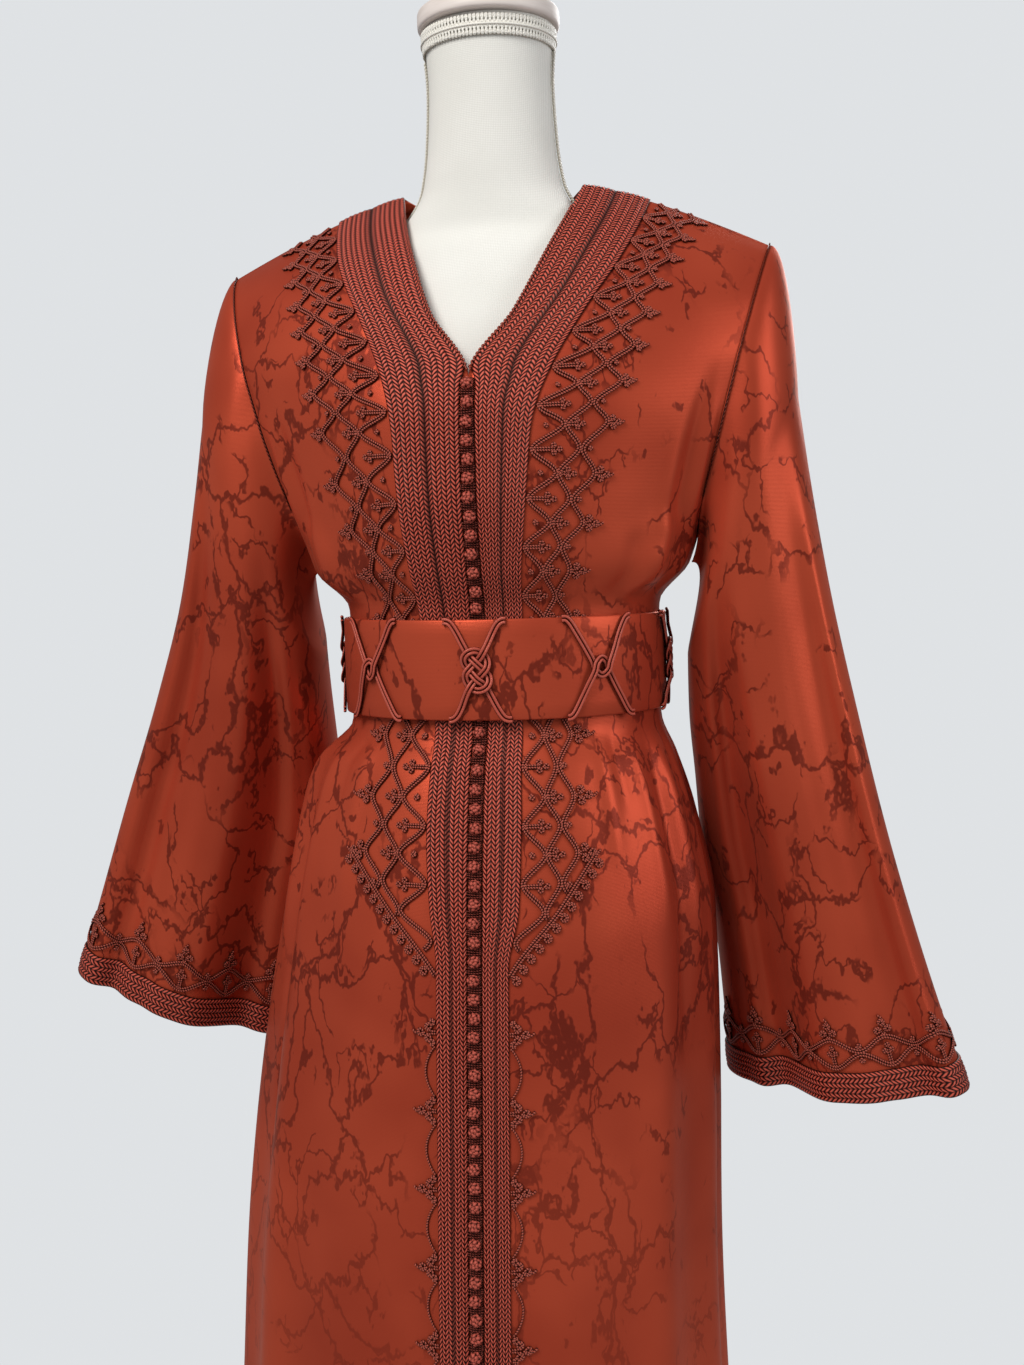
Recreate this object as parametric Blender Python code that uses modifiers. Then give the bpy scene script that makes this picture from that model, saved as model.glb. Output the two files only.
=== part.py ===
"""A Moroccan kaftan worn on a limbless dress form.

The kaftan is a long robe of satin, cut as two fronts, two back halves and two
wide sleeves.  Braid bands run down the neck and the placket, a row of small knotted
buttons closes it, scrolling cord is laid beside the bands, and a stiff belt
with looped cords holds the waist.  The dress form is a padded torso with a
wooden cap, on a pole and a flat round base.

Front faces -Y, up is +Z, the wearer's left side is +X.  Heights in the tables
are measured from the middle of the belt, in metres.
"""
import math

import bmesh
import bpy
import numpy as np
from mathutils import Vector
from mathutils.bvhtree import BVHTree

# Driving dimensions, metres
BELT_HEIGHT = 1.06
CLOTH = 0.0016
SEAM_GAP = 0.0004
REST_GAP = 0.0003
UNDERARM_LEVEL = 0.070
V_LEVEL = 0.199
TOP_LEVEL = 0.345
HEM_LEVEL = -1.03
BACK_YOKE_LEVEL = 0.290
BACK_NECK_SHARE = 0.335
BACK_BAND_SHARE = 0.62
BELT_HALF_WIDTH = 0.1215
BELT_FRONT = 0.1045
BELT_BACK = 0.0970
BELT_HALF_TALL = 0.035
BELT_THICK = 0.0020
BUTTON_PITCH = 0.0125
BUTTON_HALF = 0.0042
BUTTON_TALL = 0.0044
BUTTON_BASE_TALL = 0.0012
PLACKET_EDGE = 0.0052
CORD_HALF = 0.0026
CORD_TALL = 0.0022
MOTIFS = 8
VINE_PITCH = 0.053
VINE_HALF = 0.0014
VINE_TALL = 0.0026
VINE_LIFT = 0.0006
SLEEVE_HEAD = 0.20
ARMHOLE_CORD = (0.12, 0.50)
ARMHOLE_CORD_TALL = 0.0014
ARMHOLE_CORD_END = 0.80
SLEEVE_PUFF = 0.006
CUFF_SHARE = 0.955
BASE_RADIUS = 0.185
BASE_TALL = 0.022
POLE_RADIUS = 0.0125
CAP_RADIUS = 0.052
CAP_BOTTOM = 0.4605
CAP_TALL = 0.013
KNOB_RADIUS = 0.035
KNOB_TALL = 0.028
KNOB_CHAMFER = 0.003
CAP_CHAMFER = 0.002
CAP_FOOT_CHAMFER = 0.001
BASE_CHAMFER_WIDE = 0.010
BASE_CHAMFER_TALL = 0.008
FORM_SIDES = 24
TURNED_STEPS = 32
BELT_STEPS = 48
BELT_TABLE_STEPS = 721
BELT_CORD_LIFT = 0.0005
SIDE_LEAN = 1.3
YOKE_EASE = 0.75
NECK_MIDDLE = 0.52
NECK_FIRST_SHARE = 0.02
FOLD_GROW = 4.0
FOLD_FADE = 3.0
SLEEVE_FOLD_GROW = 2.5
SLEEVE_SEAM_SHARE = 0.6
SLEEVE_LOW_START = 0.50
SLEEVE_LOW_SPAN = 0.35
UNDERARM_START = 0.80
BACK_EVEN_LEVEL = 0.155
BUTTON_TOP_GAP = 0.003
BUTTON_FOOT_GAP = 0.002
BUTTON_LIFT = 0.0006
VINE_BAND_GAP = 0.006
VINE_UPPER = (0.056, 0.335, 50)
VINE_LOWER = (-0.056, -0.200, 26)
VINE_PROBE_START = 0.02
VINE_PROBE_REACH = 0.05
VINE_PROBE_STEPS = (-0.5, -0.25, 0.0, 0.25, 0.5)
TINY = 1e-6

# Shares of the cloth between a braid band and the side, at equal turns
PANEL_TURNS = (0.17, 0.34, 0.51, 0.68, 0.84, 1.0)
# Shares of the back from its centre to its side, at the yoke
BACK_SHARES = (0.0, 0.11, 0.22, BACK_NECK_SHARE, 0.48, BACK_BAND_SHARE,
               0.75, 0.86, 0.94, 1.0)
# Height of the braid over the cloth, from the band's outer edge to the neck
NECK_BAND_TALL = (0.0020, 0.0030, 0.0010, 0.0026)
CUFF_TALL = (0.0022, 0.0028, 0.0022)
# A laid cord's section: share of its half width, share of its height
CORD_SECTION = ((-0.9, 0.0), (0.9, 0.0), (0.55, 1.0), (-0.55, 1.0))

# The cloth body: one row per level, from the hem to the shoulder seam.
# in_ is the centre line or neck edge, out_ the side seam or armhole.
BODY_COLUMNS = ("level", "neck_x", "front_y", "back_y", "left_x", "right_x",
                "out_z", "arm_front", "arm_back", "roundness")
BODY = (
    (-1.030, 0.000, 0.205, 0.195, 0.190, 0.250, -1.030, 0.000, 0.000, 0.50),
    (-0.800, 0.000, 0.190, 0.178, 0.170, 0.232, -0.800, 0.000, 0.000, 0.50),
    (-0.580, 0.000, 0.176, 0.165, 0.152, 0.214, -0.580, 0.000, 0.000, 0.50),
    (-0.430, 0.000, 0.165, 0.155, 0.148, 0.203, -0.430, 0.000, 0.000, 0.50),
    (-0.330, 0.000, 0.155, 0.147, 0.149, 0.191, -0.330, 0.000, 0.000, 0.50),
    (-0.185, 0.000, 0.138, 0.134, 0.152, 0.171, -0.185, 0.000, 0.000, 0.50),
    (-0.110, 0.000, 0.124, 0.122, 0.140, 0.157, -0.110, 0.000, 0.000, 0.50),
    (-0.070, 0.000, 0.112, 0.110, 0.128, 0.144, -0.070, 0.000, 0.000, 0.50),
    (-0.042, 0.000, 0.0975, 0.0915, 0.1175, 0.1175, -0.042, 0.000, 0.000, 0.50),
    (0.000, 0.000, 0.0955, 0.0890, 0.1160, 0.1160, 0.000, 0.000, 0.000, 0.50),
    (0.042, 0.000, 0.0975, 0.0915, 0.1175, 0.1175, 0.042, 0.000, 0.000, 0.50),
    (0.070, 0.000, 0.106, 0.099, 0.140, 0.140, 0.070, 0.000, 0.000, 0.50),
    (0.125, 0.000, 0.115, 0.108, 0.1525, 0.1525, 0.118, 0.036, 0.038, 0.85),
    (0.170, 0.000, 0.114, 0.112, 0.1685, 0.1685, 0.178, 0.050, 0.052, 1.00),
    (0.199, 0.000, 0.107, 0.110, 0.1763, 0.1763, 0.207, 0.050, 0.053, 1.00),
    (0.245, 0.029, 0.086, 0.099, 0.1857, 0.1857, 0.242, 0.041, 0.046, 1.00),
    (0.290, 0.048, 0.055, 0.080, 0.1932, 0.1932, 0.270, 0.026, 0.031, 1.00),
    (0.325, 0.061, 0.022, 0.063, 0.1978, 0.1978, 0.287, 0.011, 0.013, 1.00),
    (0.345, 0.067, 0.000, 0.054, 0.200, 0.200, 0.295, 0.000, 0.000, 1.00),
)
BACK_NECK = ((0.000, 0.054, 0.328), (0.036, 0.044, 0.333), (0.067, 0.000, 0.345))

FRONT_LEVELS = (-1.03, -0.88, -0.73, -0.60, -0.49, -0.40, -0.32, -0.25, -0.19,
                -0.145, -0.11, -0.085, -0.065, -0.05, -0.036, 0.036, 0.05,
                0.07, 0.09, 0.125, 0.162, 0.199, 0.222, 0.245, 0.268, 0.29,
                0.31, 0.328, 0.345)
BACK_LEVELS = (-1.03, -0.86, -0.70, -0.55, -0.42, -0.31, -0.22, -0.15, -0.10,
               -0.07, -0.05, -0.036, 0.036, 0.05, 0.07, 0.11, 0.155, 0.20,
               0.245, 0.29, 0.31, 0.328, 0.345)

# Braid bands beside the placket and round the neck: width from the centre
BAND_COLUMNS = ("level", "left_wide", "right_wide")
BAND = (
    (-1.030, 0.0230, 0.0250),
    (-0.200, 0.0230, 0.0270),
    (-0.160, 0.0300, 0.0320),
    (-0.110, 0.0310, 0.0350),
    (-0.040, 0.0290, 0.0330),
    (0.050, 0.0310, 0.0440),
    (0.110, 0.0370, 0.0510),
    (0.160, 0.0420, 0.0540),
    (0.199, 0.0470, 0.0550),
    (0.245, 0.0520, 0.0560),
    (0.290, 0.0530, 0.0560),
    (0.345, 0.0530, 0.0550),
)
RIBS = ((0.00, 0.0022), (0.20, 0.0030), (0.42, 0.0022), (0.50, 0.0009),
        (0.58, 0.0022), (0.80, 0.0030), (1.00, 0.0020))

# How far from the centre line the laid cord scrolls reach
REACH_COLUMNS = ("level", "left_reach", "right_reach")
REACH = (
    (-0.205, 0.0300, 0.0340),
    (-0.125, 0.0840, 0.0980),
    (-0.050, 0.0780, 0.0900),
    (0.050, 0.0760, 0.0880),
    (0.100, 0.0880, 0.1040),
    (0.150, 0.1000, 0.1180),
    (0.200, 0.1160, 0.1290),
    (0.250, 0.1300, 0.1400),
    (0.300, 0.1450, 0.1520),
    (0.345, 0.1600, 0.1640),
)

# Folds of the skirt and the bodice, set by their place round the body.
# Degrees run from the centre front, positive towards the wearer's left.
FOLD_COLUMNS = ("degrees", "spread", "depth", "from_level", "to_level")
FOLDS = (
    (53, 8, 0.0075, -0.040, -1.30),
    (78, 8, 0.0095, -0.045, -1.30),
    (100, 7, 0.0100, -0.040, -1.30),
    (120, 7, 0.0125, -0.045, -1.30),
    (140, 7, 0.0110, -0.040, -1.30),
    (160, 7, 0.0135, -0.045, -1.30),
    (180, 7, 0.0110, -0.040, -1.30),
    (-53, 8, 0.0085, -0.040, -1.30),
    (-78, 8, 0.0105, -0.045, -1.30),
    (-100, 7, 0.0095, -0.040, -1.30),
    (-120, 7, 0.0120, -0.045, -1.30),
    (-140, 7, 0.0135, -0.040, -1.30),
    (-160, 7, 0.0105, -0.045, -1.30),
    (62, 9, 0.0040, 0.045, 0.12),
    (-62, 9, 0.0045, 0.045, 0.12),
    (120, 9, 0.0045, 0.045, 0.20),
    (-120, 9, 0.0050, 0.045, 0.20),
    (160, 9, 0.0040, 0.045, 0.20),
    (-160, 9, 0.0045, 0.045, 0.20),
)

# The sleeves, a row from the armhole to the cuff
SLEEVE_COLUMNS = ("share", "top_x", "top_z", "under_x", "under_z", "under_y",
                  "half_deep")
LEFT_SLEEVE = (
    (0.00, 0.2000, 0.295, 0.140, 0.070, 0.000, 0.050),
    (0.08, 0.2090, 0.262, 0.141, 0.050, 0.005, 0.055),
    (0.18, 0.2180, 0.200, 0.137, 0.012, 0.017, 0.058),
    (0.30, 0.2280, 0.128, 0.136, -0.040, 0.035, 0.058),
    (0.44, 0.2420, 0.045, 0.139, -0.098, 0.055, 0.056),
    (0.58, 0.2600, -0.040, 0.143, -0.160, 0.066, 0.054),
    (0.72, 0.2810, -0.130, 0.152, -0.222, 0.076, 0.053),
    (0.86, 0.3060, -0.220, 0.157, -0.282, 0.084, 0.052),
    (1.00, 0.3370, -0.318, 0.161, -0.341, 0.090, 0.052),
)
RIGHT_SLEEVE = (
    (0.00, 0.2000, 0.295, 0.140, 0.070, 0.000, 0.050),
    (0.08, 0.2120, 0.262, 0.146, 0.050, 0.005, 0.055),
    (0.18, 0.2260, 0.205, 0.150, 0.015, 0.017, 0.058),
    (0.30, 0.2380, 0.135, 0.152, -0.035, 0.035, 0.058),
    (0.44, 0.2540, 0.055, 0.153, -0.090, 0.055, 0.056),
    (0.58, 0.2790, -0.025, 0.155, -0.150, 0.070, 0.054),
    (0.72, 0.3080, -0.105, 0.167, -0.210, 0.080, 0.053),
    (0.86, 0.3340, -0.180, 0.178, -0.268, 0.086, 0.052),
    (1.00, 0.3570, -0.246, 0.188, -0.324, 0.090, 0.052),
)
SLEEVE_SHARES = (0.0, 0.035, 0.09, 0.16, 0.24, 0.33, 0.43, 0.53, 0.63,
                 0.73, 0.83, 0.905, CUFF_SHARE, 0.985, 1.0)
# Folds of a sleeve: degrees round it from the top edge, the front first
SLEEVE_FOLD_COLUMNS = ("degrees", "spread", "depth", "from_share", "to_share")
SLEEVE_FOLDS = (
    (52, 13, -0.0100, 0.10, 1.30),
    (86, 14, 0.0060, 0.20, 1.30),
    (118, 13, -0.0070, 0.15, 1.30),
    (215, 14, 0.0060, 0.20, 1.30),
    (250, 14, -0.0080, 0.15, 1.30),
    (300, 14, 0.0070, 0.20, 1.30),
)

# The padded torso, a row from its foot to the top of the neck
FORM_COLUMNS = ("level", "half_wide", "front", "back", "power")
FORM = (
    (-0.300, 0.1180, 0.0880, 0.0920, 2.2),
    (-0.240, 0.1240, 0.0960, 0.1000, 2.2),
    (-0.160, 0.1230, 0.1000, 0.1040, 2.2),
    (-0.090, 0.1140, 0.0920, 0.0940, 2.1),
    (-0.045, 0.1060, 0.0850, 0.0810, 2.0),
    (0.000, 0.1040, 0.0830, 0.0780, 2.0),
    (0.045, 0.1060, 0.0860, 0.0800, 2.0),
    (0.100, 0.1180, 0.0960, 0.0880, 2.0),
    (0.150, 0.1270, 0.1020, 0.0940, 2.0),
    (0.200, 0.1340, 0.0960, 0.0950, 2.0),
    (0.240, 0.1400, 0.0800, 0.0860, 1.9),
    (0.270, 0.1460, 0.0640, 0.0740, 1.8),
    (0.288, 0.1420, 0.0560, 0.0680, 1.6),
    (0.302, 0.1175, 0.0495, 0.0605, 1.6),
    (0.315, 0.0820, 0.0421, 0.0525, 1.8),
    (0.330, 0.0628, 0.0403, 0.0452, 2.0),
    (0.350, 0.0515, 0.0395, 0.0400, 2.0),
    (0.380, 0.0470, 0.0400, 0.0405, 2.0),
    (0.420, 0.0450, 0.0420, 0.0420, 2.0),
    (0.460, 0.0480, 0.0450, 0.0450, 2.0),
)

# One looped cord, from its left end to its right end
LOOP_COLUMNS = ("along", "up", "over")
HOOK_LOOP = (
    (-0.0300, 0.0322, 0.0), (-0.0255, 0.0300, 0.0), (-0.0160, 0.0170, 0.0),
    (-0.0095, 0.0070, 0.0), (-0.0070, 0.0000, 0.0), (-0.0052, -0.0070, 0.0),
    (0.0000, -0.0112, 0.5), (0.0052, -0.0070, 1.0), (0.0070, 0.0000, 1.0),
    (0.0095, 0.0070, 1.0), (0.0160, 0.0180, 0.0), (0.0255, 0.0300, 0.0),
    (0.0300, 0.0322, 0.0),
)
KNOT_LOOP = (
    (-0.0270, 0.0322, 0.0), (-0.0225, 0.0300, 0.0), (-0.0150, 0.0210, 0.0),
    (-0.0108, 0.0110, 0.0), (-0.0098, 0.0000, 0.0), (-0.0078, -0.0110, 0.0),
    (0.0000, -0.0165, 0.5), (0.0078, -0.0110, 1.0), (0.0098, 0.0000, 1.0),
    (0.0108, 0.0110, 1.0), (0.0150, 0.0210, 0.0), (0.0225, 0.0300, 0.0),
    (0.0270, 0.0322, 0.0),
)


def column(table, columns, name):
    """One named column of a table, as numbers."""
    place = columns.index(name)
    return np.array([row[place] for row in table], dtype=float)


def smooth(xs, ys, at):
    """A smooth curve through the points that doesn't overshoot them."""
    at = np.clip(np.asarray(at, dtype=float), xs[0], xs[-1])
    steps = np.diff(xs)
    slopes = np.diff(ys) / steps
    tangents = np.zeros(len(xs))
    tangents[0] = slopes[0]
    tangents[-1] = slopes[-1]
    for i in range(1, len(xs) - 1):
        before = slopes[i - 1]
        after = slopes[i]
        if before * after > 0:
            wide = 2 * steps[i] + steps[i - 1]
            near = steps[i] + 2 * steps[i - 1]
            tangents[i] = (wide + near) / (wide / before + near / after)
    place = np.clip(np.searchsorted(xs, at, side="right") - 1, 0, len(xs) - 2)
    step = steps[place]
    part = (at - xs[place]) / step
    square = part * part
    cube = square * part
    return ((2 * cube - 3 * square + 1) * ys[place]
            + (cube - 2 * square + part) * step * tangents[place]
            + (3 * square - 2 * cube) * ys[place + 1]
            + (cube - square) * step * tangents[place + 1])


def body_value(name, level):
    """A column of the body table at any level."""
    return smooth(column(BODY, BODY_COLUMNS, "level"),
                  column(BODY, BODY_COLUMNS, name), level)


def ease(part):
    """A soft step from 0 to 1."""
    part = np.clip(part, 0.0, 1.0)
    return part * part * (3 - 2 * part)


def fold_depth(degrees, level):
    """How far the folds push the cloth out at a place round the body."""
    total = np.zeros(np.broadcast(degrees, level).shape)
    for place, spread, depth, start, end in FOLDS:
        away = (degrees - place + 180.0) % 360.0 - 180.0
        grown = ease((level - start) / (end - start) * FOLD_GROW)
        inside = (level - start) * (level - end) <= 0
        fade = ease((end - level) / (end - start) * FOLD_FADE)
        total += np.where(inside, depth * grown * fade, 0.0) * np.exp(-(away / spread) ** 2)
    return total


def back_top(across):
    """The back's top edge: the neck curve and then the shoulder seam."""
    points = np.array(BACK_NECK)
    shares = np.array((0.0, BACK_NECK_SHARE * NECK_MIDDLE, BACK_NECK_SHARE))
    tip = np.array((body_value("left_x", TOP_LEVEL), 0.0, body_value("out_z", TOP_LEVEL)))
    along = np.clip((across - BACK_NECK_SHARE) / (1 - BACK_NECK_SHARE), 0.0, 1.0)
    result = []
    for axis in range(3):
        neck = smooth(shares, points[:, axis], np.minimum(across, BACK_NECK_SHARE))
        shoulder = points[2, axis] + (tip[axis] - points[2, axis]) * along
        result.append(np.where(across <= BACK_NECK_SHARE, neck, shoulder))
    return np.stack(result, axis=-1)


def plain_cloth(face, side, across, level):
    """The body cloth without folds; across runs from 0 at the centre to 1."""
    across, level = np.broadcast_arrays(across, level)
    turn = np.arcsin(np.clip(across, 0.0, 1.0))
    reach = body_value("left_x" if side > 0 else "right_x", level)
    arm = body_value("arm_" + face, level)
    deep = body_value(face + "_y", level)
    power = 2 * body_value("roundness", level)
    start = body_value("neck_x", level) if face == "front" else np.zeros(level.shape)
    x = start + (reach - start) * across
    y = arm + (deep - arm) * np.cos(turn) ** power
    z = level + (body_value("out_z", level) - level) * across ** SIDE_LEAN
    if face == "back":
        top = back_top(across)
        part = ease((level - BACK_YOKE_LEVEL) / (TOP_LEVEL - BACK_YOKE_LEVEL)) ** YOKE_EASE
        low = np.minimum(level, BACK_YOKE_LEVEL)
        lower_reach = np.where(level > BACK_YOKE_LEVEL, body_value("left_x", low), reach)
        lower_arm = body_value("arm_back", low)
        lower_deep = body_value("back_y", low)
        lower_y = lower_arm + (lower_deep - lower_arm) * np.cos(turn) ** power
        lower_z = low + (body_value("out_z", low) - low) * across ** SIDE_LEAN
        x = lower_reach * across + (top[..., 0] - lower_reach * across) * part
        y = lower_y + (top[..., 1] - lower_y) * part
        z = lower_z + (top[..., 2] - lower_z) * part
    facing = -1.0 if face == "front" else 1.0
    return np.stack((x * side, y * facing, z), axis=-1)


def facing_out(points_at, side, face, across, level):
    """The outward direction of a surface, from its own slopes."""
    step_across = 0.01
    step_level = 0.002
    right = np.clip(across + step_across, 0, 1)
    left = np.clip(across - step_across, 0, 1)
    above = np.clip(level + step_level, HEM_LEVEL, TOP_LEVEL)
    below = np.clip(level - step_level, HEM_LEVEL, TOP_LEVEL)
    along = points_at(right, level) - points_at(left, level)
    upward = points_at(across, above) - points_at(across, below)
    out = np.cross(along, upward) * side * (1.0 if face == "front" else -1.0)
    return out / np.linalg.norm(out, axis=-1, keepdims=True)


def cloth(face, side, across, level):
    """The body cloth with its folds, and its outward directions."""
    across, level = np.broadcast_arrays(np.asarray(across, float), np.asarray(level, float))

    def plain(a, b):
        return plain_cloth(face, side, a, b)

    def folded(a, b):
        around = np.degrees(np.arcsin(np.clip(a, 0, 1)))
        degrees = around if face == "front" else 180.0 - around
        push = fold_depth(degrees * side, b)
        return plain(a, b) + facing_out(plain, side, face, a, b) * push[..., None]

    points = folded(across, level)
    out = facing_out(folded, side, face, across, level)
    centre = across <= 0
    if face == "front":
        centre = centre & (np.abs(points[..., 0]) < TINY)
    out[..., 0] = np.where(centre, 0.0, out[..., 0])
    at_side = (across >= 1) & (level <= UNDERARM_LEVEL + TINY)
    at_shoulder = level >= TOP_LEVEL - TINY
    if face == "back":
        at_shoulder = at_shoulder & (across >= BACK_NECK_SHARE)
    flat = at_side | at_shoulder
    out[..., 1] = np.where(flat, 0.0, out[..., 1])
    out /= np.linalg.norm(out, axis=-1, keepdims=True)
    shift = -SEAM_GAP / 2 if face == "front" else SEAM_GAP / 2
    points[..., 1] = np.where(flat, shift, points[..., 1])
    points[..., 0] = np.where(centre, side * SEAM_GAP / 2, points[..., 0])
    return points, out


def front_grid(side):
    """Places of the front panel's points: band columns, then the plain cloth."""
    levels = np.array(FRONT_LEVELS)
    wide = smooth(column(BAND, BAND_COLUMNS, "level"),
                  column(BAND, BAND_COLUMNS, "left_wide" if side > 0 else "right_wide"), levels)
    start = body_value("neck_x", levels)
    reach = body_value("left_x" if side > 0 else "right_x", levels)
    first = np.where(levels <= V_LEVEL + TINY, PLACKET_EDGE, 0.0)
    rows = []
    for i in range(len(levels)):
        span = reach[i] - start[i]
        shares = [0.0]
        for along, tall in RIBS:
            shares.append((first[i] + (wide[i] - first[i]) * along) / span)
        if first[i] == 0.0:
            shares[0] = 0.0
            shares[1] = shares[2] * NECK_FIRST_SHARE
        last = math.asin(shares[-1])
        for part in PANEL_TURNS:
            shares.append(math.sin(last + (math.pi / 2 - last) * part))
        rows.append(shares)
    across = np.array(rows)
    across[:, -1] = 1.0
    return across, np.repeat(levels[:, None], across.shape[1], axis=1)


def mesh_object(name, points, faces, material, collection):
    """A mesh object with its faces turned outwards."""
    mesh = bpy.data.meshes.new(name)
    mesh.from_pydata([tuple(p) for p in points], [], faces)
    work = bmesh.new()
    work.from_mesh(mesh)
    bmesh.ops.recalc_face_normals(work, faces=work.faces)
    work.to_mesh(mesh)
    work.free()
    item = bpy.data.objects.new(name, mesh)
    item.location = (0.0, 0.0, BELT_HEIGHT)
    mesh.materials.append(material)
    collection.objects.link(item)
    return item


def wall(name, outer, inner, round_it, material, collection):
    """A closed wall between two grids of points; round_it joins its sides."""
    rows, cols = outer.shape[:2]
    points = list(outer.reshape(-1, 3)) + list(inner.reshape(-1, 3))
    back = rows * cols
    faces = []
    spans = cols if round_it else cols - 1
    for i in range(rows - 1):
        for j in range(spans):
            k = (j + 1) % cols
            a, b = i * cols + j, i * cols + k
            c, d = (i + 1) * cols + k, (i + 1) * cols + j
            faces.append((a, b, c))
            faces.append((a, c, d))
            faces.append((back + a, back + c, back + b))
            faces.append((back + a, back + d, back + c))
    for j in range(spans):
        k = (j + 1) % cols
        faces.append((j, back + j, back + k, k))
        last = (rows - 1) * cols
        faces.append((last + k, back + last + k, back + last + j, last + j))
    if not round_it:
        for i in range(rows - 1):
            a, d = i * cols, (i + 1) * cols
            faces.append((a, d, back + d, back + a))
            b, c = a + cols - 1, d + cols - 1
            faces.append((c, b, back + b, back + c))
    return mesh_object(name, points, faces, material, collection)


def material(name, colour, rough, metallic=0.0):
    """A Principled material."""
    made = bpy.data.materials.new(name)
    made.use_nodes = True
    shader = made.node_tree.nodes["Principled BSDF"]
    shader.inputs["Base Color"].default_value = (*colour, 1.0)
    shader.inputs["Roughness"].default_value = rough
    shader.inputs["Metallic"].default_value = metallic
    made.diffuse_color = (*colour, 1.0)
    return made


def make_front(side, satin, braid, collection):
    """A front panel and the ribbed braid band laid along its edge."""
    name = "left" if side > 0 else "right"
    across, level = front_grid(side)
    points, out = cloth("front", side, across, level)
    panel = wall("front_" + name, points, points - out * CLOTH, False, satin, collection)
    first = 1
    last = first + len(RIBS)
    under = points[:, first:last] + out[:, first:last] * REST_GAP
    tall = np.array([rib[1] for rib in RIBS])[None, :, None]
    wall("braid_band_" + name, under + out[:, first:last] * tall, under, False, braid, collection)
    return panel, points


def make_back(satin, braid, collection):
    """The two back halves, and the braid band across the neck."""
    turns = np.array(BACK_SHARES)
    even = np.sin(np.linspace(0.0, math.pi / 2, len(turns)))
    turns, level = np.meshgrid(turns, np.array(BACK_LEVELS))
    even = np.broadcast_to(even, turns.shape)
    across = even + (turns - even) * ease(
        (level - BACK_EVEN_LEVEL) / (BACK_YOKE_LEVEL - BACK_EVEN_LEVEL))
    right, right_out = (grid[:, ::-1] for grid in cloth("back", -1.0, across, level))
    left, left_out = cloth("back", 1.0, across, level)
    wall("back_right", right, right - right_out * CLOTH, False, satin, collection)
    wall("back_left", left, left - left_out * CLOTH, False, satin, collection)
    points = np.concatenate((right[:, :-1], left), axis=1)
    points[:, right.shape[1] - 1, 0] = 0.0
    out = np.concatenate((right_out[:, :-1], left_out), axis=1)
    reach = list(turns[0]).index(BACK_BAND_SHARE)
    middle = turns.shape[1] - 1
    low = BACK_LEVELS.index(BACK_YOKE_LEVEL)
    part = points[low:, middle - reach:middle + reach + 1]
    lift = out[low:, middle - reach:middle + reach + 1]
    tall = np.array(NECK_BAND_TALL)[:, None, None]
    under = part + lift * REST_GAP
    wall("braid_band_neck_back", under + lift * tall, under, False, braid, collection)


def armhole(side):
    """The panels' own points round the armhole, from the shoulder tip."""
    front_levels = [level for level in FRONT_LEVELS if level >= UNDERARM_LEVEL - TINY]
    back_levels = [level for level in BACK_LEVELS if level >= UNDERARM_LEVEL - TINY]
    front, front_out = cloth("front", side, np.ones(len(front_levels)), front_levels)
    back, back_out = cloth("back", side, np.ones(len(back_levels)), back_levels)
    points = np.concatenate((front[::-1], back[1:-1]))
    out = np.concatenate((front_out[::-1], back_out[1:-1]))
    drop = (front[-1, 2] - points[:, 2]) / (front[-1, 2] - front[0, 2])
    around = np.arccos(np.clip(1 - 2 * drop, -1.0, 1.0))
    around[len(front_levels):] = 2 * math.pi - around[len(front_levels):]
    along = np.roll(points, -1, axis=0) - np.roll(points, 1, axis=0)
    away = np.cross(out, along) * side
    away /= np.linalg.norm(away, axis=1, keepdims=True)
    drop_share = (1 - np.cos(around)) / 2
    below = ease((drop_share - UNDERARM_START) / (1 - UNDERARM_START))[:, None]
    beside = np.array((side * (CLOTH + SEAM_GAP), 0.0, 0.0))
    points = points + away * SEAM_GAP * (1 - below) + beside * below
    points[0, 1] = 0.0
    points[len(front_levels) - 1, 1] = 0.0
    return points, out, around


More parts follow.
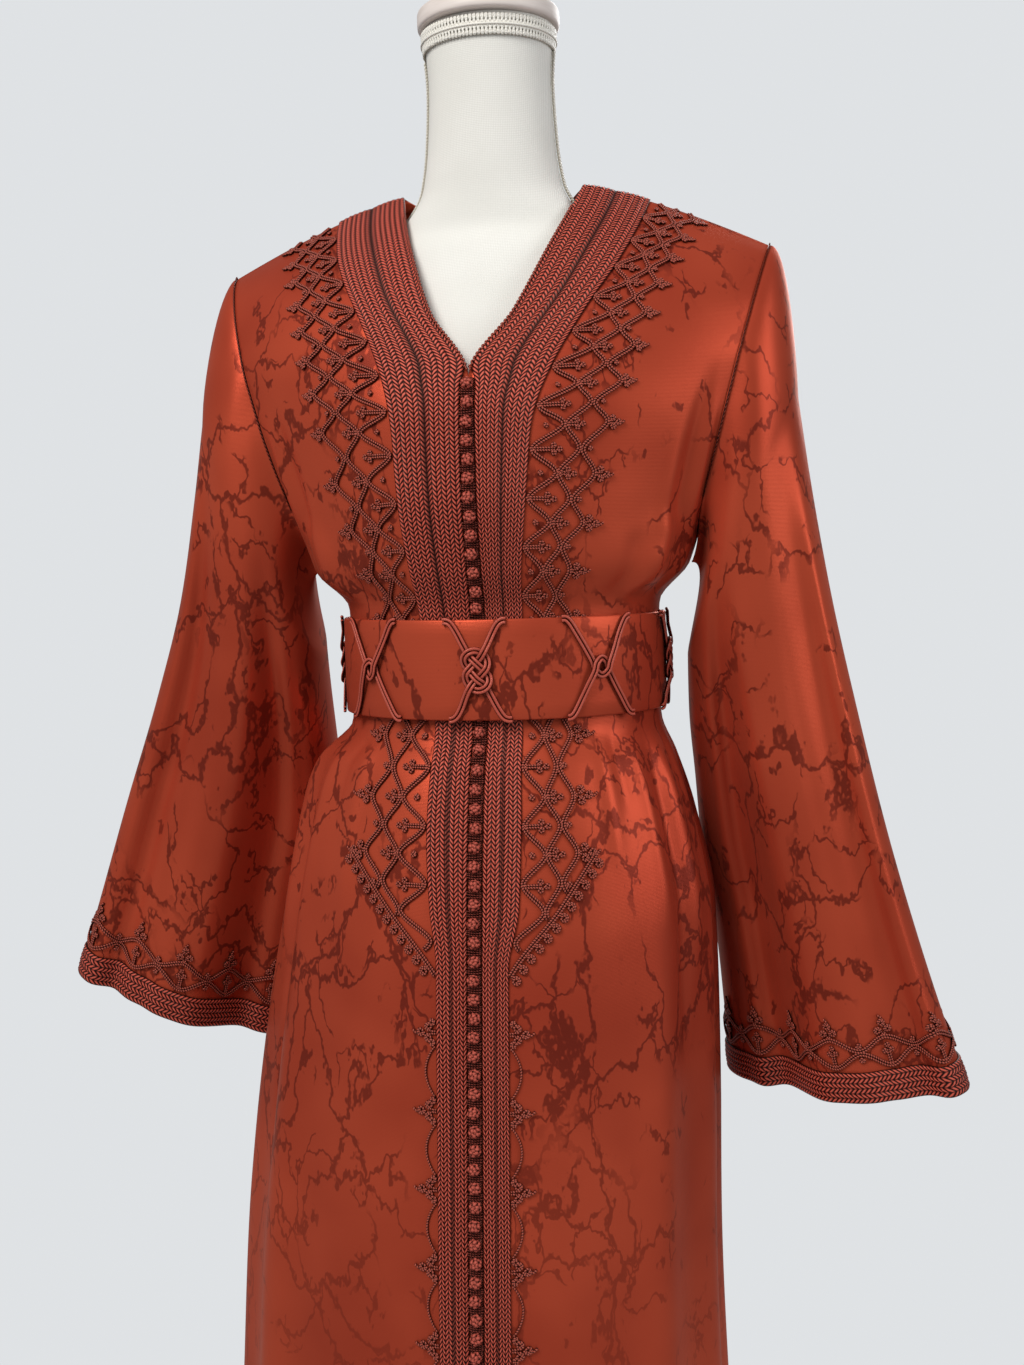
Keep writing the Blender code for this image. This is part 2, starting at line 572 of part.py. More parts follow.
def sleeve_points(side, share):
    """The sleeve's outer surface and directions, from the shoulder tip round."""
    edge, lean, around = armhole(side)
    table = LEFT_SLEEVE if side > 0 else RIGHT_SLEEVE
    shares = column(table, SLEEVE_COLUMNS, "share")
    value = {}
    for name in SLEEVE_COLUMNS[1:]:
        value[name] = smooth(shares, column(table, SLEEVE_COLUMNS, name), share)[:, None]
    down = (1 - np.cos(around))[None, :] / 2
    x = value["top_x"] + (value["under_x"] - value["top_x"]) * down
    z = value["top_z"] + (value["under_z"] - value["top_z"]) * down
    y = value["under_y"] * down - value["half_deep"] * np.sin(around)[None, :]
    push = np.zeros(x.shape)
    for place, spread, depth, start, end in SLEEVE_FOLDS:
        away = (np.degrees(around) - place + 180.0) % 360.0 - 180.0
        grown = ease((share - start) / (end - start) * SLEEVE_FOLD_GROW)
        push += depth * grown[:, None] * np.exp(-(away / spread) ** 2)[None, :]
    y = y + push * np.where(np.sin(around) > 0, -1.0, 1.0)[None, :]
    points = np.stack((x * side, y, z), axis=-1)
    mix = ease(share / SLEEVE_HEAD)[:, None, None]
    puff = np.sin(np.clip(share / SLEEVE_HEAD, 0, 1) * math.pi)[:, None] * SLEEVE_PUFF
    points = edge[None] * (1 - mix) + points * mix
    points[..., 0] += side * puff
    ring = np.roll(points, -1, axis=1) - np.roll(points, 1, axis=1)
    along = np.gradient(points, axis=0)
    out = np.cross(ring, along)
    if np.sum(out * (points - points.mean(axis=1, keepdims=True))) < 0:
        out = -out
    out /= np.linalg.norm(out, axis=-1, keepdims=True)
    seam_share = (1 - ease(share / (SLEEVE_HEAD * SLEEVE_SEAM_SHARE)))[:, None, None]
    upper_share = 1 - ease((down[0] - SLEEVE_LOW_START) / SLEEVE_LOW_SPAN)[None, :, None]
    out = out + (lean[None] - out) * seam_share * upper_share
    out /= np.linalg.norm(out, axis=-1, keepdims=True)
    return points, out, down[0]


def make_sleeve(side, satin, braid, dark, collection):
    """A sleeve, the braid round its cuff and the stitched cord of its seam."""
    name = "left" if side > 0 else "right"
    share = np.array(SLEEVE_SHARES)
    points, out, down = sleeve_points(side, share)
    wall("sleeve_" + name, points, points - out * CLOTH, True, satin, collection)
    first = SLEEVE_SHARES.index(CUFF_SHARE)
    under = points[first:] + out[first:] * REST_GAP
    tall = np.array(CUFF_TALL)[:, None, None]
    wall("cuff_braid_" + name, under + out[first:] * tall, under, True, braid, collection)
    low = np.flatnonzero(down > ARMHOLE_CORD_END)
    over = list(range(low[-1] + 1, len(down))) + list(range(low[0]))
    spread = np.array(ARMHOLE_CORD)[:, None, None]
    place = (points[0] + (points[1] - points[0]) * spread)[:, over]
    lift = (out[0] + (out[1] - out[0]) * spread)[:, over]
    lift /= np.linalg.norm(lift, axis=-1, keepdims=True)
    under = place + lift * REST_GAP
    wall("armhole_cord_" + name, under + lift * ARMHOLE_CORD_TALL, under, False, dark, collection)


def make_buttons(edge, knots, collection):
    """The closing: a narrow strip with a raised knot at every button."""
    order = np.argsort(edge[:, 2])
    heights = edge[order, 2]
    depths = edge[order, 1]
    top = V_LEVEL - BUTTON_TOP_GAP
    count = int((top - HEM_LEVEL - 2 * BUTTON_FOOT_GAP) / BUTTON_PITCH)
    rows = []
    for i in range(count + 1):
        rows.append((top - i * BUTTON_PITCH, BUTTON_BASE_TALL))
        rows.append((top - (i + 0.5) * BUTTON_PITCH, BUTTON_TALL))
    rows.append((top - (count + 1) * BUTTON_PITCH, BUTTON_BASE_TALL))
    rows = [row for row in rows if row[0] > HEM_LEVEL + BUTTON_FOOT_GAP]
    upper = []
    lower = []
    for height, tall in rows:
        depth = float(np.interp(height, heights, depths))
        slope = (np.interp(height + BUTTON_HALF, heights, depths)
                 - np.interp(height - BUTTON_HALF, heights, depths)) / (2 * BUTTON_HALF)
        out = np.array((0.0, -1.0, slope)) / math.hypot(1.0, slope)
        base = np.array((0.0, depth, height)) + out * BUTTON_LIFT
        step = np.array((BUTTON_HALF, 0.0, 0.0))
        lower.append((base - step, base, base + step))
        edge_tall = min(tall, BUTTON_BASE_TALL)
        upper.append((base - step + out * edge_tall, base + out * tall,
                      base + step + out * edge_tall))
    wall("button_row", np.array(upper), np.array(lower), False, knots, collection)


def belt_ring(angles, lift):
    """Points of the belt's outline in plan, moved out by lift."""
    deep = np.where(np.cos(angles) > 0, BELT_FRONT, BELT_BACK)
    x = BELT_HALF_WIDTH * np.sin(angles)
    y = -deep * np.cos(angles)
    out = np.stack((np.sin(angles) * deep, -np.cos(angles) * BELT_HALF_WIDTH), axis=-1)
    out /= np.linalg.norm(out, axis=-1, keepdims=True)
    return np.stack((x, y), axis=-1) + out * np.asarray(lift)[..., None]


def make_belt(satin, collection):
    """The stiff belt, one closed ring."""
    angles = np.linspace(0.0, 2 * math.pi, BELT_STEPS, endpoint=False)
    outer = []
    inner = []
    for height in (-BELT_HALF_TALL, BELT_HALF_TALL):
        tall = np.full((len(angles), 1), height)
        outer.append(np.hstack((belt_ring(angles, np.zeros(len(angles))), tall)))
        inner.append(np.hstack((belt_ring(angles, np.full(len(angles), -BELT_THICK)), tall)))
    wall("belt", np.array(outer), np.array(inner), True, satin, collection)


def belt_angle_table():
    """Distance along the belt against the angle round it."""
    angles = np.linspace(-math.pi, math.pi, BELT_TABLE_STEPS)
    ring = belt_ring(angles, np.zeros(len(angles)))
    steps = np.linalg.norm(np.diff(ring, axis=0), axis=1)
    along = np.concatenate(((0.0,), np.cumsum(steps)))
    return angles, along - along[len(along) // 2]


def cord(name, path, out, half, tall, material, collection):
    """A cord of four sides laid along a path, raised along its outward side."""
    along = np.gradient(path, axis=0)
    along /= np.linalg.norm(along, axis=1, keepdims=True)
    across = np.cross(along, out)
    across /= np.linalg.norm(across, axis=1, keepdims=True)
    rings = [path + across * (half * a) + out * (tall * b) for a, b in CORD_SECTION]
    points = np.stack(rings, axis=1).reshape(-1, 3)
    sides = len(CORD_SECTION)
    faces = []
    for i in range(len(path) - 1):
        for j in range(sides):
            k = (j + 1) % sides
            a, b = i * sides + j, i * sides + k
            faces.append((a, b, b + sides, a + sides))
    faces.append(tuple(range(sides)))
    last = (len(path) - 1) * sides
    faces.append(tuple(range(last + sides - 1, last - 1, -1)))
    return mesh_object(name, points, faces, material, collection)


def make_motif(name, loop, place, turn, material, collection):
    """One looped cord of the belt; turn -1 gives its partner from below."""
    angles, along = belt_angle_table()
    girth = along[-1] - along[0]
    path = []
    outs = []
    for step, up, over in loop:
        spot = (place * girth + step * turn - along[0]) % girth + along[0]
        angle = float(np.interp(spot, along, angles))
        lift = REST_GAP + over * (CORD_TALL + BELT_CORD_LIFT)
        spot = belt_ring(np.array((angle,)), np.array((lift,)))[0]
        base = belt_ring(np.array((angle,)), np.array((0.0,)))[0]
        path.append((spot[0], spot[1], up * turn))
        outs.append((spot[0] - base[0], spot[1] - base[1], 0.0))
    outs = np.array(outs)
    outs /= np.linalg.norm(outs, axis=1, keepdims=True)
    cord(name, np.array(path), outs, CORD_HALF, CORD_TALL, material, collection)


def make_vine(name, side, levels, panel, material, collection):
    """A laid cord that waves between the band and the edge of the scrolls."""
    tree = BVHTree.FromObject(panel, bpy.context.evaluated_depsgraph_get())
    title = "left" if side > 0 else "right"
    wide = smooth(column(BAND, BAND_COLUMNS, "level"),
                  column(BAND, BAND_COLUMNS, title + "_wide"), levels)
    reach = smooth(column(REACH, REACH_COLUMNS, "level"),
                   column(REACH, REACH_COLUMNS, title + "_reach"), levels)
    start = body_value("neck_x", levels)
    span = body_value(title + "_x", levels) - start
    inner = start + wide + VINE_BAND_GAP
    outer = np.maximum(reach, inner + VINE_HALF)
    wave = 0.5 + 0.5 * np.sin(levels / VINE_PITCH * 2 * math.pi)
    x = inner + (outer - inner) * wave
    guess, out = cloth("front", side, (x - start) / span, levels)
    along = np.gradient(guess, axis=0)
    aside = np.cross(along, out)
    aside /= np.linalg.norm(aside, axis=1, keepdims=True)
    path = []
    for spot, lean, step, side_way in zip(guess, out, along, aside):
        highest = -1.0
        for forward in VINE_PROBE_STEPS:
            for away in (-VINE_HALF, 0.0, VINE_HALF):
                probe = spot + step * forward + side_way * away
                start_at = Vector(probe + lean * VINE_PROBE_START)
                hit = tree.ray_cast(start_at, Vector(-lean), VINE_PROBE_REACH)[0]
                if hit is not None:
                    highest = max(highest, float(np.dot(np.array(hit) - spot, lean)))
        path.append(spot + lean * (highest + VINE_LIFT))
    cord(name, np.array(path), out, VINE_HALF, VINE_TALL, material, collection)


def make_form(linen, collection):
    """The padded torso, one closed body without arms."""
    turns = np.linspace(0.0, 2 * math.pi, FORM_SIDES, endpoint=False)
    points = []
    for level, half_wide, front, back, power in FORM:
        for turn in turns:
            c, s = math.cos(turn), math.sin(turn)
            deep = back if s > 0 else front
            points.append((half_wide * math.copysign(abs(c) ** (2 / power), c),
                           deep * math.copysign(abs(s) ** (2 / power), s), level))
    faces = []
    for i in range(len(FORM) - 1):
        for j in range(FORM_SIDES):
            k = (j + 1) % FORM_SIDES
            faces.append((i * FORM_SIDES + j, i * FORM_SIDES + k,
                          (i + 1) * FORM_SIDES + k, (i + 1) * FORM_SIDES + j))
    faces.append(tuple(reversed(range(FORM_SIDES))))
    last = (len(FORM) - 1) * FORM_SIDES
    faces.append(tuple(range(last, last + FORM_SIDES)))
    return mesh_object("form_torso", points, faces, linen, collection)


def turned(name, profile, material, collection):
    """A turned body: its outline from the top axis down to the bottom axis, spun."""
    mesh = bpy.data.meshes.new(name)
    points = [(radius, 0.0, height) for radius, height in profile]
    edges = [(i, i + 1) for i in range(len(points) - 1)]
    mesh.from_pydata(points, edges, [])
    mesh.materials.append(material)
    item = bpy.data.objects.new(name, mesh)
    item.location = (0.0, 0.0, BELT_HEIGHT)
    collection.objects.link(item)
    spin = item.modifiers.new("spin", "SCREW")
    spin.axis = "Z"
    spin.angle = 2 * math.pi
    spin.steps = TURNED_STEPS
    spin.render_steps = TURNED_STEPS
    spin.use_merge_vertices = True
    spin.merge_threshold = 0.0001
    spin.use_smooth_shade = True
    return item


def build():
    """Clear the scene and make every piece."""
    for item in list(bpy.data.objects):
        bpy.data.objects.remove(item, do_unlink=True)
    collection = bpy.data.collections.new("moroccan_kaftan_on_dress_form")
    bpy.context.scene.collection.children.link(collection)
    satin = material("rust_satin", (0.42, 0.09, 0.045), 0.35)
    braid = material("rust_braid", (0.33, 0.06, 0.04), 0.55)
    dark = material("seam_cord", (0.12, 0.02, 0.015), 0.6)
    linen = material("form_linen", (0.78, 0.75, 0.68), 0.85)
    paint = material("cap_paint", (0.80, 0.72, 0.68), 0.5)
    iron = material("stand_paint", (0.75, 0.74, 0.72), 0.45)

    panels = {}
    edges = {}
    for side in (1.0, -1.0):
        panels[side], edges[side] = make_front(side, satin, braid, collection)
        make_sleeve(side, satin, braid, dark, collection)
    make_back(satin, braid, collection)
    make_buttons(edges[1.0][:, 0], braid, collection)

    bpy.context.view_layer.update()
    for side, title in ((1.0, "left"), (-1.0, "right")):
        for place, span in (("upper_", VINE_UPPER), ("lower_", VINE_LOWER)):
            make_vine("scroll_cord_" + place + title, side, np.linspace(*span),
                      panels[side], braid, collection)

    make_belt(satin, collection)
    for i in range(MOTIFS):
        place = i / MOTIFS
        loop = KNOT_LOOP if i % 2 == 0 else HOOK_LOOP
        kind = "knot" if i % 2 == 0 else "hook"
        for turn, end in ((1.0, "above"), (-1.0, "below")):
            title = "belt_" + kind + "_" + str(i + 1) + "_" + end
            make_motif(title, loop, place, turn, braid, collection)

    make_form(linen, collection)
    cap_top = CAP_BOTTOM + CAP_TALL
    knob_top = cap_top + KNOB_TALL
    turned("form_cap", ((0.0, knob_top),
                        (KNOB_RADIUS - KNOB_CHAMFER, knob_top),
                        (KNOB_RADIUS, knob_top - KNOB_CHAMFER),
                        (KNOB_RADIUS, cap_top),
                        (CAP_RADIUS - CAP_CHAMFER, cap_top),
                        (CAP_RADIUS, cap_top - CAP_CHAMFER),
                        (CAP_RADIUS, CAP_BOTTOM + CAP_FOOT_CHAMFER),
                        (CAP_RADIUS - CAP_FOOT_CHAMFER, CAP_BOTTOM),
                        (0.0, CAP_BOTTOM)), paint, collection)
    base_top = BASE_TALL - BELT_HEIGHT
    turned("form_base", ((0.0, base_top),
                         (BASE_RADIUS - BASE_CHAMFER_WIDE, base_top),
                         (BASE_RADIUS, base_top - BASE_CHAMFER_TALL),
                         (BASE_RADIUS, -BELT_HEIGHT),
                         (0.0, -BELT_HEIGHT)), iron, collection)
    pole_top = FORM[0][0] - REST_GAP
    pole_foot = base_top + REST_GAP
    turned("form_pole", ((0.0, pole_top), (POLE_RADIUS, pole_top), (POLE_RADIUS, pole_foot),
                         (0.0, pole_foot)), iron, collection)

    low = Vector((1e9, 1e9, 1e9))
    high = Vector((-1e9, -1e9, -1e9))
    for item in collection.objects:
        for vertex in item.data.vertices:
            spot = vertex.co
            low = Vector((min(low.x, spot.x), min(low.y, spot.y), min(low.z, spot.z)))
            high = Vector((max(high.x, spot.x), max(high.y, spot.y), max(high.z, spot.z)))
    middle = (low + high) / 2
    for item in collection.objects:
        item.location = (-middle.x, -middle.y, BELT_HEIGHT)


build()
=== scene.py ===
"""The looks of a Moroccan kaftan on a dress form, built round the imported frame."""
import math

import bmesh
import bpy
import numpy as np
from mathutils import Matrix, Vector


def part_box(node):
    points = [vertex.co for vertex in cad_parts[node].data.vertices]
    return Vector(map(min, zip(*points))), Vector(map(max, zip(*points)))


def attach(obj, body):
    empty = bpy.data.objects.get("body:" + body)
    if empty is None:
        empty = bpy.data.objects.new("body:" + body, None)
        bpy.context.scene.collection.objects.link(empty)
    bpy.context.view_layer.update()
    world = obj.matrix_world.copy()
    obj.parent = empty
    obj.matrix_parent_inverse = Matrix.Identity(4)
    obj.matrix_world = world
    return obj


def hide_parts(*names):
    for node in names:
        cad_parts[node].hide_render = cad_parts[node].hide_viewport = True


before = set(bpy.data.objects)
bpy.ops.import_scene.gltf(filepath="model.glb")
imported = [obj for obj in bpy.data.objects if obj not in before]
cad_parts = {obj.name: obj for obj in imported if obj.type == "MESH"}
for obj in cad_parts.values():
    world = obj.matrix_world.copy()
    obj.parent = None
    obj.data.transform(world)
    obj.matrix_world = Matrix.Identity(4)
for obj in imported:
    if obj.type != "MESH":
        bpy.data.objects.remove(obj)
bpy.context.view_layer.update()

# The view: a camera a little to the wearer's left, just above the belt and turned,
# over a plain pale floor, with the belt's middle as the measuring point for every height below.
BELT_BACK = 0.0970
belt_low, belt_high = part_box("belt")
WAIST = np.array(((belt_low[0] + belt_high[0]) / 2, belt_high[1] - BELT_BACK,
                  (belt_low[2] + belt_high[2]) / 2))

CAMERA_AT = (0.215, -1.080, 1.135)
CAMERA_TURN = math.radians(10.47)
CAMERA_DIP = math.radians(4.8)
CAMERA_ROLL = math.radians(1.5)
PHOTO_TALL = 1365
FOCAL_PIXELS = 1457.0
SENSOR = 36.0
NEAREST_SEEN = 0.05
ahead = Vector((-math.sin(CAMERA_TURN) * math.cos(CAMERA_DIP),
                math.cos(CAMERA_TURN) * math.cos(CAMERA_DIP), -math.sin(CAMERA_DIP)))
level_right = ahead.cross(Vector((0.0, 0.0, 1.0))).normalized()
level_up = level_right.cross(ahead)
right = level_right * math.cos(CAMERA_ROLL) - level_up * math.sin(CAMERA_ROLL)
above = level_right * math.sin(CAMERA_ROLL) + level_up * math.cos(CAMERA_ROLL)
lens = bpy.data.cameras.new("camera")
lens.sensor_width = SENSOR
lens.lens = FOCAL_PIXELS / PHOTO_TALL * SENSOR
lens.clip_start = NEAREST_SEEN
camera = bpy.data.objects.new("camera", lens)
camera.matrix_world = Matrix.Translation(CAMERA_AT) @ Matrix(
    (right, above, -ahead)).transposed().to_4x4()
bpy.context.scene.collection.objects.link(camera)
bpy.context.scene.camera = camera
bpy.context.scene.view_settings.view_transform = "Standard"

# Soft studio light: a pale room, a wide lamp from the wearer's right and
# above, a weaker one from the other side and one for the back.
ROOM_COLOUR = (0.74, 0.76, 0.78)
ROOM_LIGHT = 0.34
LAMPS = (
    # name, place, wide, tall, power, colour
    ("key", (-0.9, -2.0, 3.0), 1.4, 1.4, 66.0, (1.0, 0.985, 0.96)),
    ("fill", (2.7, -0.9, 1.9), 1.5, 1.6, 27.0, (0.98, 0.99, 1.0)),
    ("back", (0.6, 2.4, 2.4), 1.8, 1.8, 40.0, (1.0, 1.0, 1.0)),
)
room = bpy.data.worlds.new("studio")
room.use_nodes = True
room.node_tree.nodes["Background"].inputs["Color"].default_value = (*ROOM_COLOUR, 1.0)
seen = room.node_tree.nodes.new("ShaderNodeLightPath").outputs["Is Camera Ray"]
level_of = room.node_tree.nodes.new("ShaderNodeMapRange")
level_of.inputs["To Min"].default_value = ROOM_LIGHT
level_of.inputs["To Max"].default_value = 1.0
room.node_tree.links.new(seen, level_of.inputs["Value"])
room.node_tree.links.new(level_of.outputs["Result"],
                         room.node_tree.nodes["Background"].inputs["Strength"])
bpy.context.scene.world = room
for name, place, wide, tall, power, colour in LAMPS:
    light = bpy.data.lights.new(name, "AREA")
    light.shape = "RECTANGLE"
    light.size = wide
    light.size_y = tall
    light.energy = power
    light.color = colour
    lamp = bpy.data.objects.new(name, light)
    lamp.location = place
    aim = Vector(WAIST) - Vector(place)
    lamp.rotation_euler = aim.to_track_quat("-Z", "Y").to_euler()
    bpy.context.scene.collection.objects.link(lamp)


def plain_finish(name, colour, rough):
    """A new Principled material and its shader."""
    made = bpy.data.materials.new(name)
    made.use_nodes = True
    shader = made.node_tree.nodes["Principled BSDF"]
    shader.inputs["Base Color"].default_value = (*colour, 1.0)
    shader.inputs["Roughness"].default_value = rough
    return made, shader


FLOOR_RADIUS = 0.80
FLOOR_STEPS = 96
FLOOR_COLOUR = (0.72, 0.73, 0.74)
FLOOR_ROUGH = 0.8
floor_mesh = bpy.data.meshes.new("floor")
floor_edge = [(FLOOR_RADIUS * math.cos(2 * math.pi * i / FLOOR_STEPS),
               FLOOR_RADIUS * math.sin(2 * math.pi * i / FLOOR_STEPS), 0.0)
              for i in range(FLOOR_STEPS)]
floor_mesh.from_pydata(floor_edge, [], [tuple(range(FLOOR_STEPS))])
floor_finish = plain_finish("floor_paper", FLOOR_COLOUR, FLOOR_ROUGH)[0]
floor_mesh.materials.append(floor_finish)
floor = bpy.data.objects.new("floor", floor_mesh)
bpy.context.scene.collection.objects.link(floor)

# Fronts and back: rust satin, cut as two fronts and two back halves, seamed at
# the sides and shoulders.  The tables give the worn shape at each height from
# the belt, and the folds that the belt gathers in.
SIDES = ((1.0, "left"), (-1.0, "right"))
CLOTH = 0.0014
SEAM_GAP = 0.0004
UNDERARM_LEVEL = 0.070
V_LEVEL = 0.199
TOP_LEVEL = 0.345
HEM_LEVEL = -1.03
YOKE_LEVEL = 0.290
NECK_SHARE = 0.335
BODY_COLUMNS = ("level", "neck_x", "front_y", "back_y", "left_x", "right_x",
                "out_z", "arm_front", "arm_back", "roundness")
BODY = (
    (-1.030, 0.000, 0.205, 0.195, 0.190, 0.250, -1.030, 0.000, 0.000, 0.50),
    (-0.800, 0.000, 0.190, 0.178, 0.170, 0.232, -0.800, 0.000, 0.000, 0.50),
    (-0.580, 0.000, 0.176, 0.165, 0.152, 0.214, -0.580, 0.000, 0.000, 0.50),
    (-0.430, 0.000, 0.165, 0.155, 0.148, 0.203, -0.430, 0.000, 0.000, 0.50),
    (-0.330, 0.000, 0.155, 0.147, 0.149, 0.191, -0.330, 0.000, 0.000, 0.50),
    (-0.185, 0.000, 0.138, 0.134, 0.152, 0.171, -0.185, 0.000, 0.000, 0.50),
    (-0.110, 0.000, 0.124, 0.122, 0.140, 0.157, -0.110, 0.000, 0.000, 0.50),
    (-0.070, 0.000, 0.112, 0.110, 0.128, 0.144, -0.070, 0.000, 0.000, 0.50),
    (-0.042, 0.000, 0.0975, 0.0915, 0.1175, 0.1175, -0.042, 0.000, 0.000, 0.50),
    (0.000, 0.000, 0.0955, 0.0890, 0.1160, 0.1160, 0.000, 0.000, 0.000, 0.50),
    (0.042, 0.000, 0.0975, 0.0915, 0.1175, 0.1175, 0.042, 0.000, 0.000, 0.50),
    (0.070, 0.000, 0.106, 0.099, 0.140, 0.140, 0.070, 0.000, 0.000, 0.50),
    (0.125, 0.000, 0.115, 0.108, 0.1525, 0.1525, 0.118, 0.036, 0.038, 0.85),
    (0.170, 0.000, 0.114, 0.112, 0.1685, 0.1685, 0.178, 0.050, 0.052, 1.00),
    (0.199, 0.000, 0.107, 0.110, 0.1763, 0.1763, 0.207, 0.050, 0.053, 1.00),
    (0.245, 0.029, 0.086, 0.099, 0.1857, 0.1857, 0.242, 0.041, 0.046, 1.00),
    (0.290, 0.048, 0.055, 0.080, 0.1932, 0.1932, 0.270, 0.026, 0.031, 1.00),
    (0.325, 0.061, 0.022, 0.063, 0.1978, 0.1978, 0.287, 0.011, 0.013, 1.00),
    (0.345, 0.067, 0.000, 0.054, 0.200, 0.200, 0.295, 0.000, 0.000, 1.00),
)
BACK_NECK = ((0.000, 0.054, 0.328), (0.036, 0.044, 0.333), (0.067, 0.000, 0.345))
SIDE_LEAN = 1.3
YOKE_EASE = 0.75
NECK_MIDDLE = 0.52
FOLD_GROW = 4.0
FOLD_FADE = 3.0
SLOPE_ACROSS = 0.01
SLOPE_LEVEL = 0.002
NEARLY = 1e-6

# Folds: place round the body in degrees from the centre front, towards the
# wearer's left; half width in degrees; height; and where each runs.
FOLDS = (
    # degrees, spread, depth, from_level, to_level
    (53, 8, 0.0075, -0.040, -1.30),
    (78, 8, 0.0095, -0.045, -1.30),
    (100, 7, 0.0100, -0.040, -1.30),
    (120, 7, 0.0125, -0.045, -1.30),
    (140, 7, 0.0110, -0.040, -1.30),
    (160, 7, 0.0135, -0.045, -1.30),
    (180, 7, 0.0110, -0.040, -1.30),
    (-53, 8, 0.0085, -0.040, -1.30),
    (-78, 8, 0.0105, -0.045, -1.30),
    (-100, 7, 0.0095, -0.040, -1.30),
    (-120, 7, 0.0120, -0.045, -1.30),
    (-140, 7, 0.0135, -0.040, -1.30),
    (-160, 7, 0.0105, -0.045, -1.30),
    (62, 9, 0.0040, 0.045, 0.12),
    (-62, 9, 0.0045, 0.045, 0.12),
    (120, 9, 0.0045, 0.045, 0.20),
    (-120, 9, 0.0050, 0.045, 0.20),
    (160, 9, 0.0040, 0.045, 0.20),
    (-160, 9, 0.0045, 0.045, 0.20),
)
# Smaller gathers and soft creases, raised or sunk a little
CREASES = (
    # degrees, spread, depth, from_level, to_level
    (41, 2.6, 0.0016, -0.042, -0.150),
    (47, 2.2, -0.0014, -0.042, -0.110),
    (55, 2.6, 0.0026, -0.042, -0.200),
    (63, 2.8, -0.0044, -0.040, -0.300),
    (70, 2.6, 0.0034, -0.042, -0.240),
    (79, 2.4, -0.0030, -0.040, -0.180),
    (88, 3.0, -0.0036, -0.040, -0.420),
    (110, 2.6, -0.0020, -0.040, -0.260),
    (-38, 2.6, 0.0018, -0.042, -0.190),
    (-46, 2.2, -0.0015, -0.042, -0.130),
    (-54, 2.6, 0.0028, -0.042, -0.230),
    (-62, 3.0, -0.0046, -0.040, -0.420),
    (-70, 2.6, 0.0036, -0.042, -0.240),
    (-80, 2.4, -0.0030, -0.040, -0.170),
    (-88, 3.0, -0.0036, -0.040, -0.330),
    (-109, 2.6, -0.0020, -0.040, -0.230),
    (130, 2.4, 0.0016, -0.042, -0.190),
    (150, 2.4, -0.0018, -0.042, -0.350),
    (170, 2.4, 0.0014, -0.042, -0.210),
    (-131, 2.4, -0.0016, -0.042, -0.270),
    (-150, 2.4, 0.0018, -0.042, -0.180),
    (-171, 2.4, -0.0014, -0.042, -0.300),
    (66, 4.0, -0.0034, 0.040, 0.205),
    (58, 3.6, 0.0026, 0.042, 0.170),
    (76, 4.2, 0.0024, 0.042, 0.180),
    (-64, 4.0, -0.0036, 0.040, 0.190),
    (-57, 3.4, 0.0024, 0.042, 0.150),
    (-75, 4.2, 0.0026, 0.042, 0.175),
    (48, 3.2, -0.0016, 0.042, 0.100),
    (55, 3.0, 0.0014, 0.042, 0.090),
    (71, 3.4, -0.0018, 0.042, 0.120),
    (-45, 3.0, -0.0016, 0.042, 0.090),
    (-53, 3.0, 0.0016, 0.042, 0.105),
    (-72, 3.4, -0.0020, 0.042, 0.115),
    (140, 4.0, -0.0018, 0.042, 0.160),
    (-140, 4.0, -0.0018, 0.042, 0.150),
    (178, 5.0, -0.0016, 0.042, 0.140),
)


def smooth(xs, ys, at):
    """A smooth curve through the points that doesn't overshoot them."""
    xs = np.asarray(xs, float)
    ys = np.asarray(ys, float)
    at = np.clip(np.asarray(at, dtype=float), xs[0], xs[-1])
    steps = np.diff(xs)
    slopes = np.diff(ys) / steps
    tangents = np.zeros(len(xs))
    tangents[0] = slopes[0]
    tangents[-1] = slopes[-1]
    for i in range(1, len(xs) - 1):
        before = slopes[i - 1]
        after = slopes[i]
        if before * after > 0:
            wide = 2 * steps[i] + steps[i - 1]
            near = steps[i] + 2 * steps[i - 1]
            tangents[i] = (wide + near) / (wide / before + near / after)
    place = np.clip(np.searchsorted(xs, at, side="right") - 1, 0, len(xs) - 2)
    step = steps[place]
    part = (at - xs[place]) / step
    square = part * part
    cube = square * part
    return ((2 * cube - 3 * square + 1) * ys[place]
            + (cube - 2 * square + part) * step * tangents[place]
            + (3 * square - 2 * cube) * ys[place + 1]
            + (cube - square) * step * tangents[place + 1])


def column(table, names, name):
    """One named column of a table."""
    return np.array([row[names.index(name)] for row in table], dtype=float)


def body_value(name, level):
    """A column of the body table at any level."""
    return smooth(column(BODY, BODY_COLUMNS, "level"),
                  column(BODY, BODY_COLUMNS, name), level)


def ease(part):
    """A soft step from 0 to 1."""
    part = np.clip(part, 0.0, 1.0)
    return part * part * (3 - 2 * part)


def fold_depth(degrees, level):
    """How far the folds and creases push the cloth out round the body."""
    total = np.zeros(np.broadcast(degrees, level).shape)
    for place, spread, depth, start, end in FOLDS + CREASES:
        away = (degrees - place + 180.0) % 360.0 - 180.0
        grown = ease((level - start) / (end - start) * FOLD_GROW)
        inside = (level - start) * (level - end) <= 0
        fade = ease((end - level) / (end - start) * FOLD_FADE)
        total += np.where(inside, depth * grown * fade, 0.0) * np.exp(-(away / spread) ** 2)
    return total


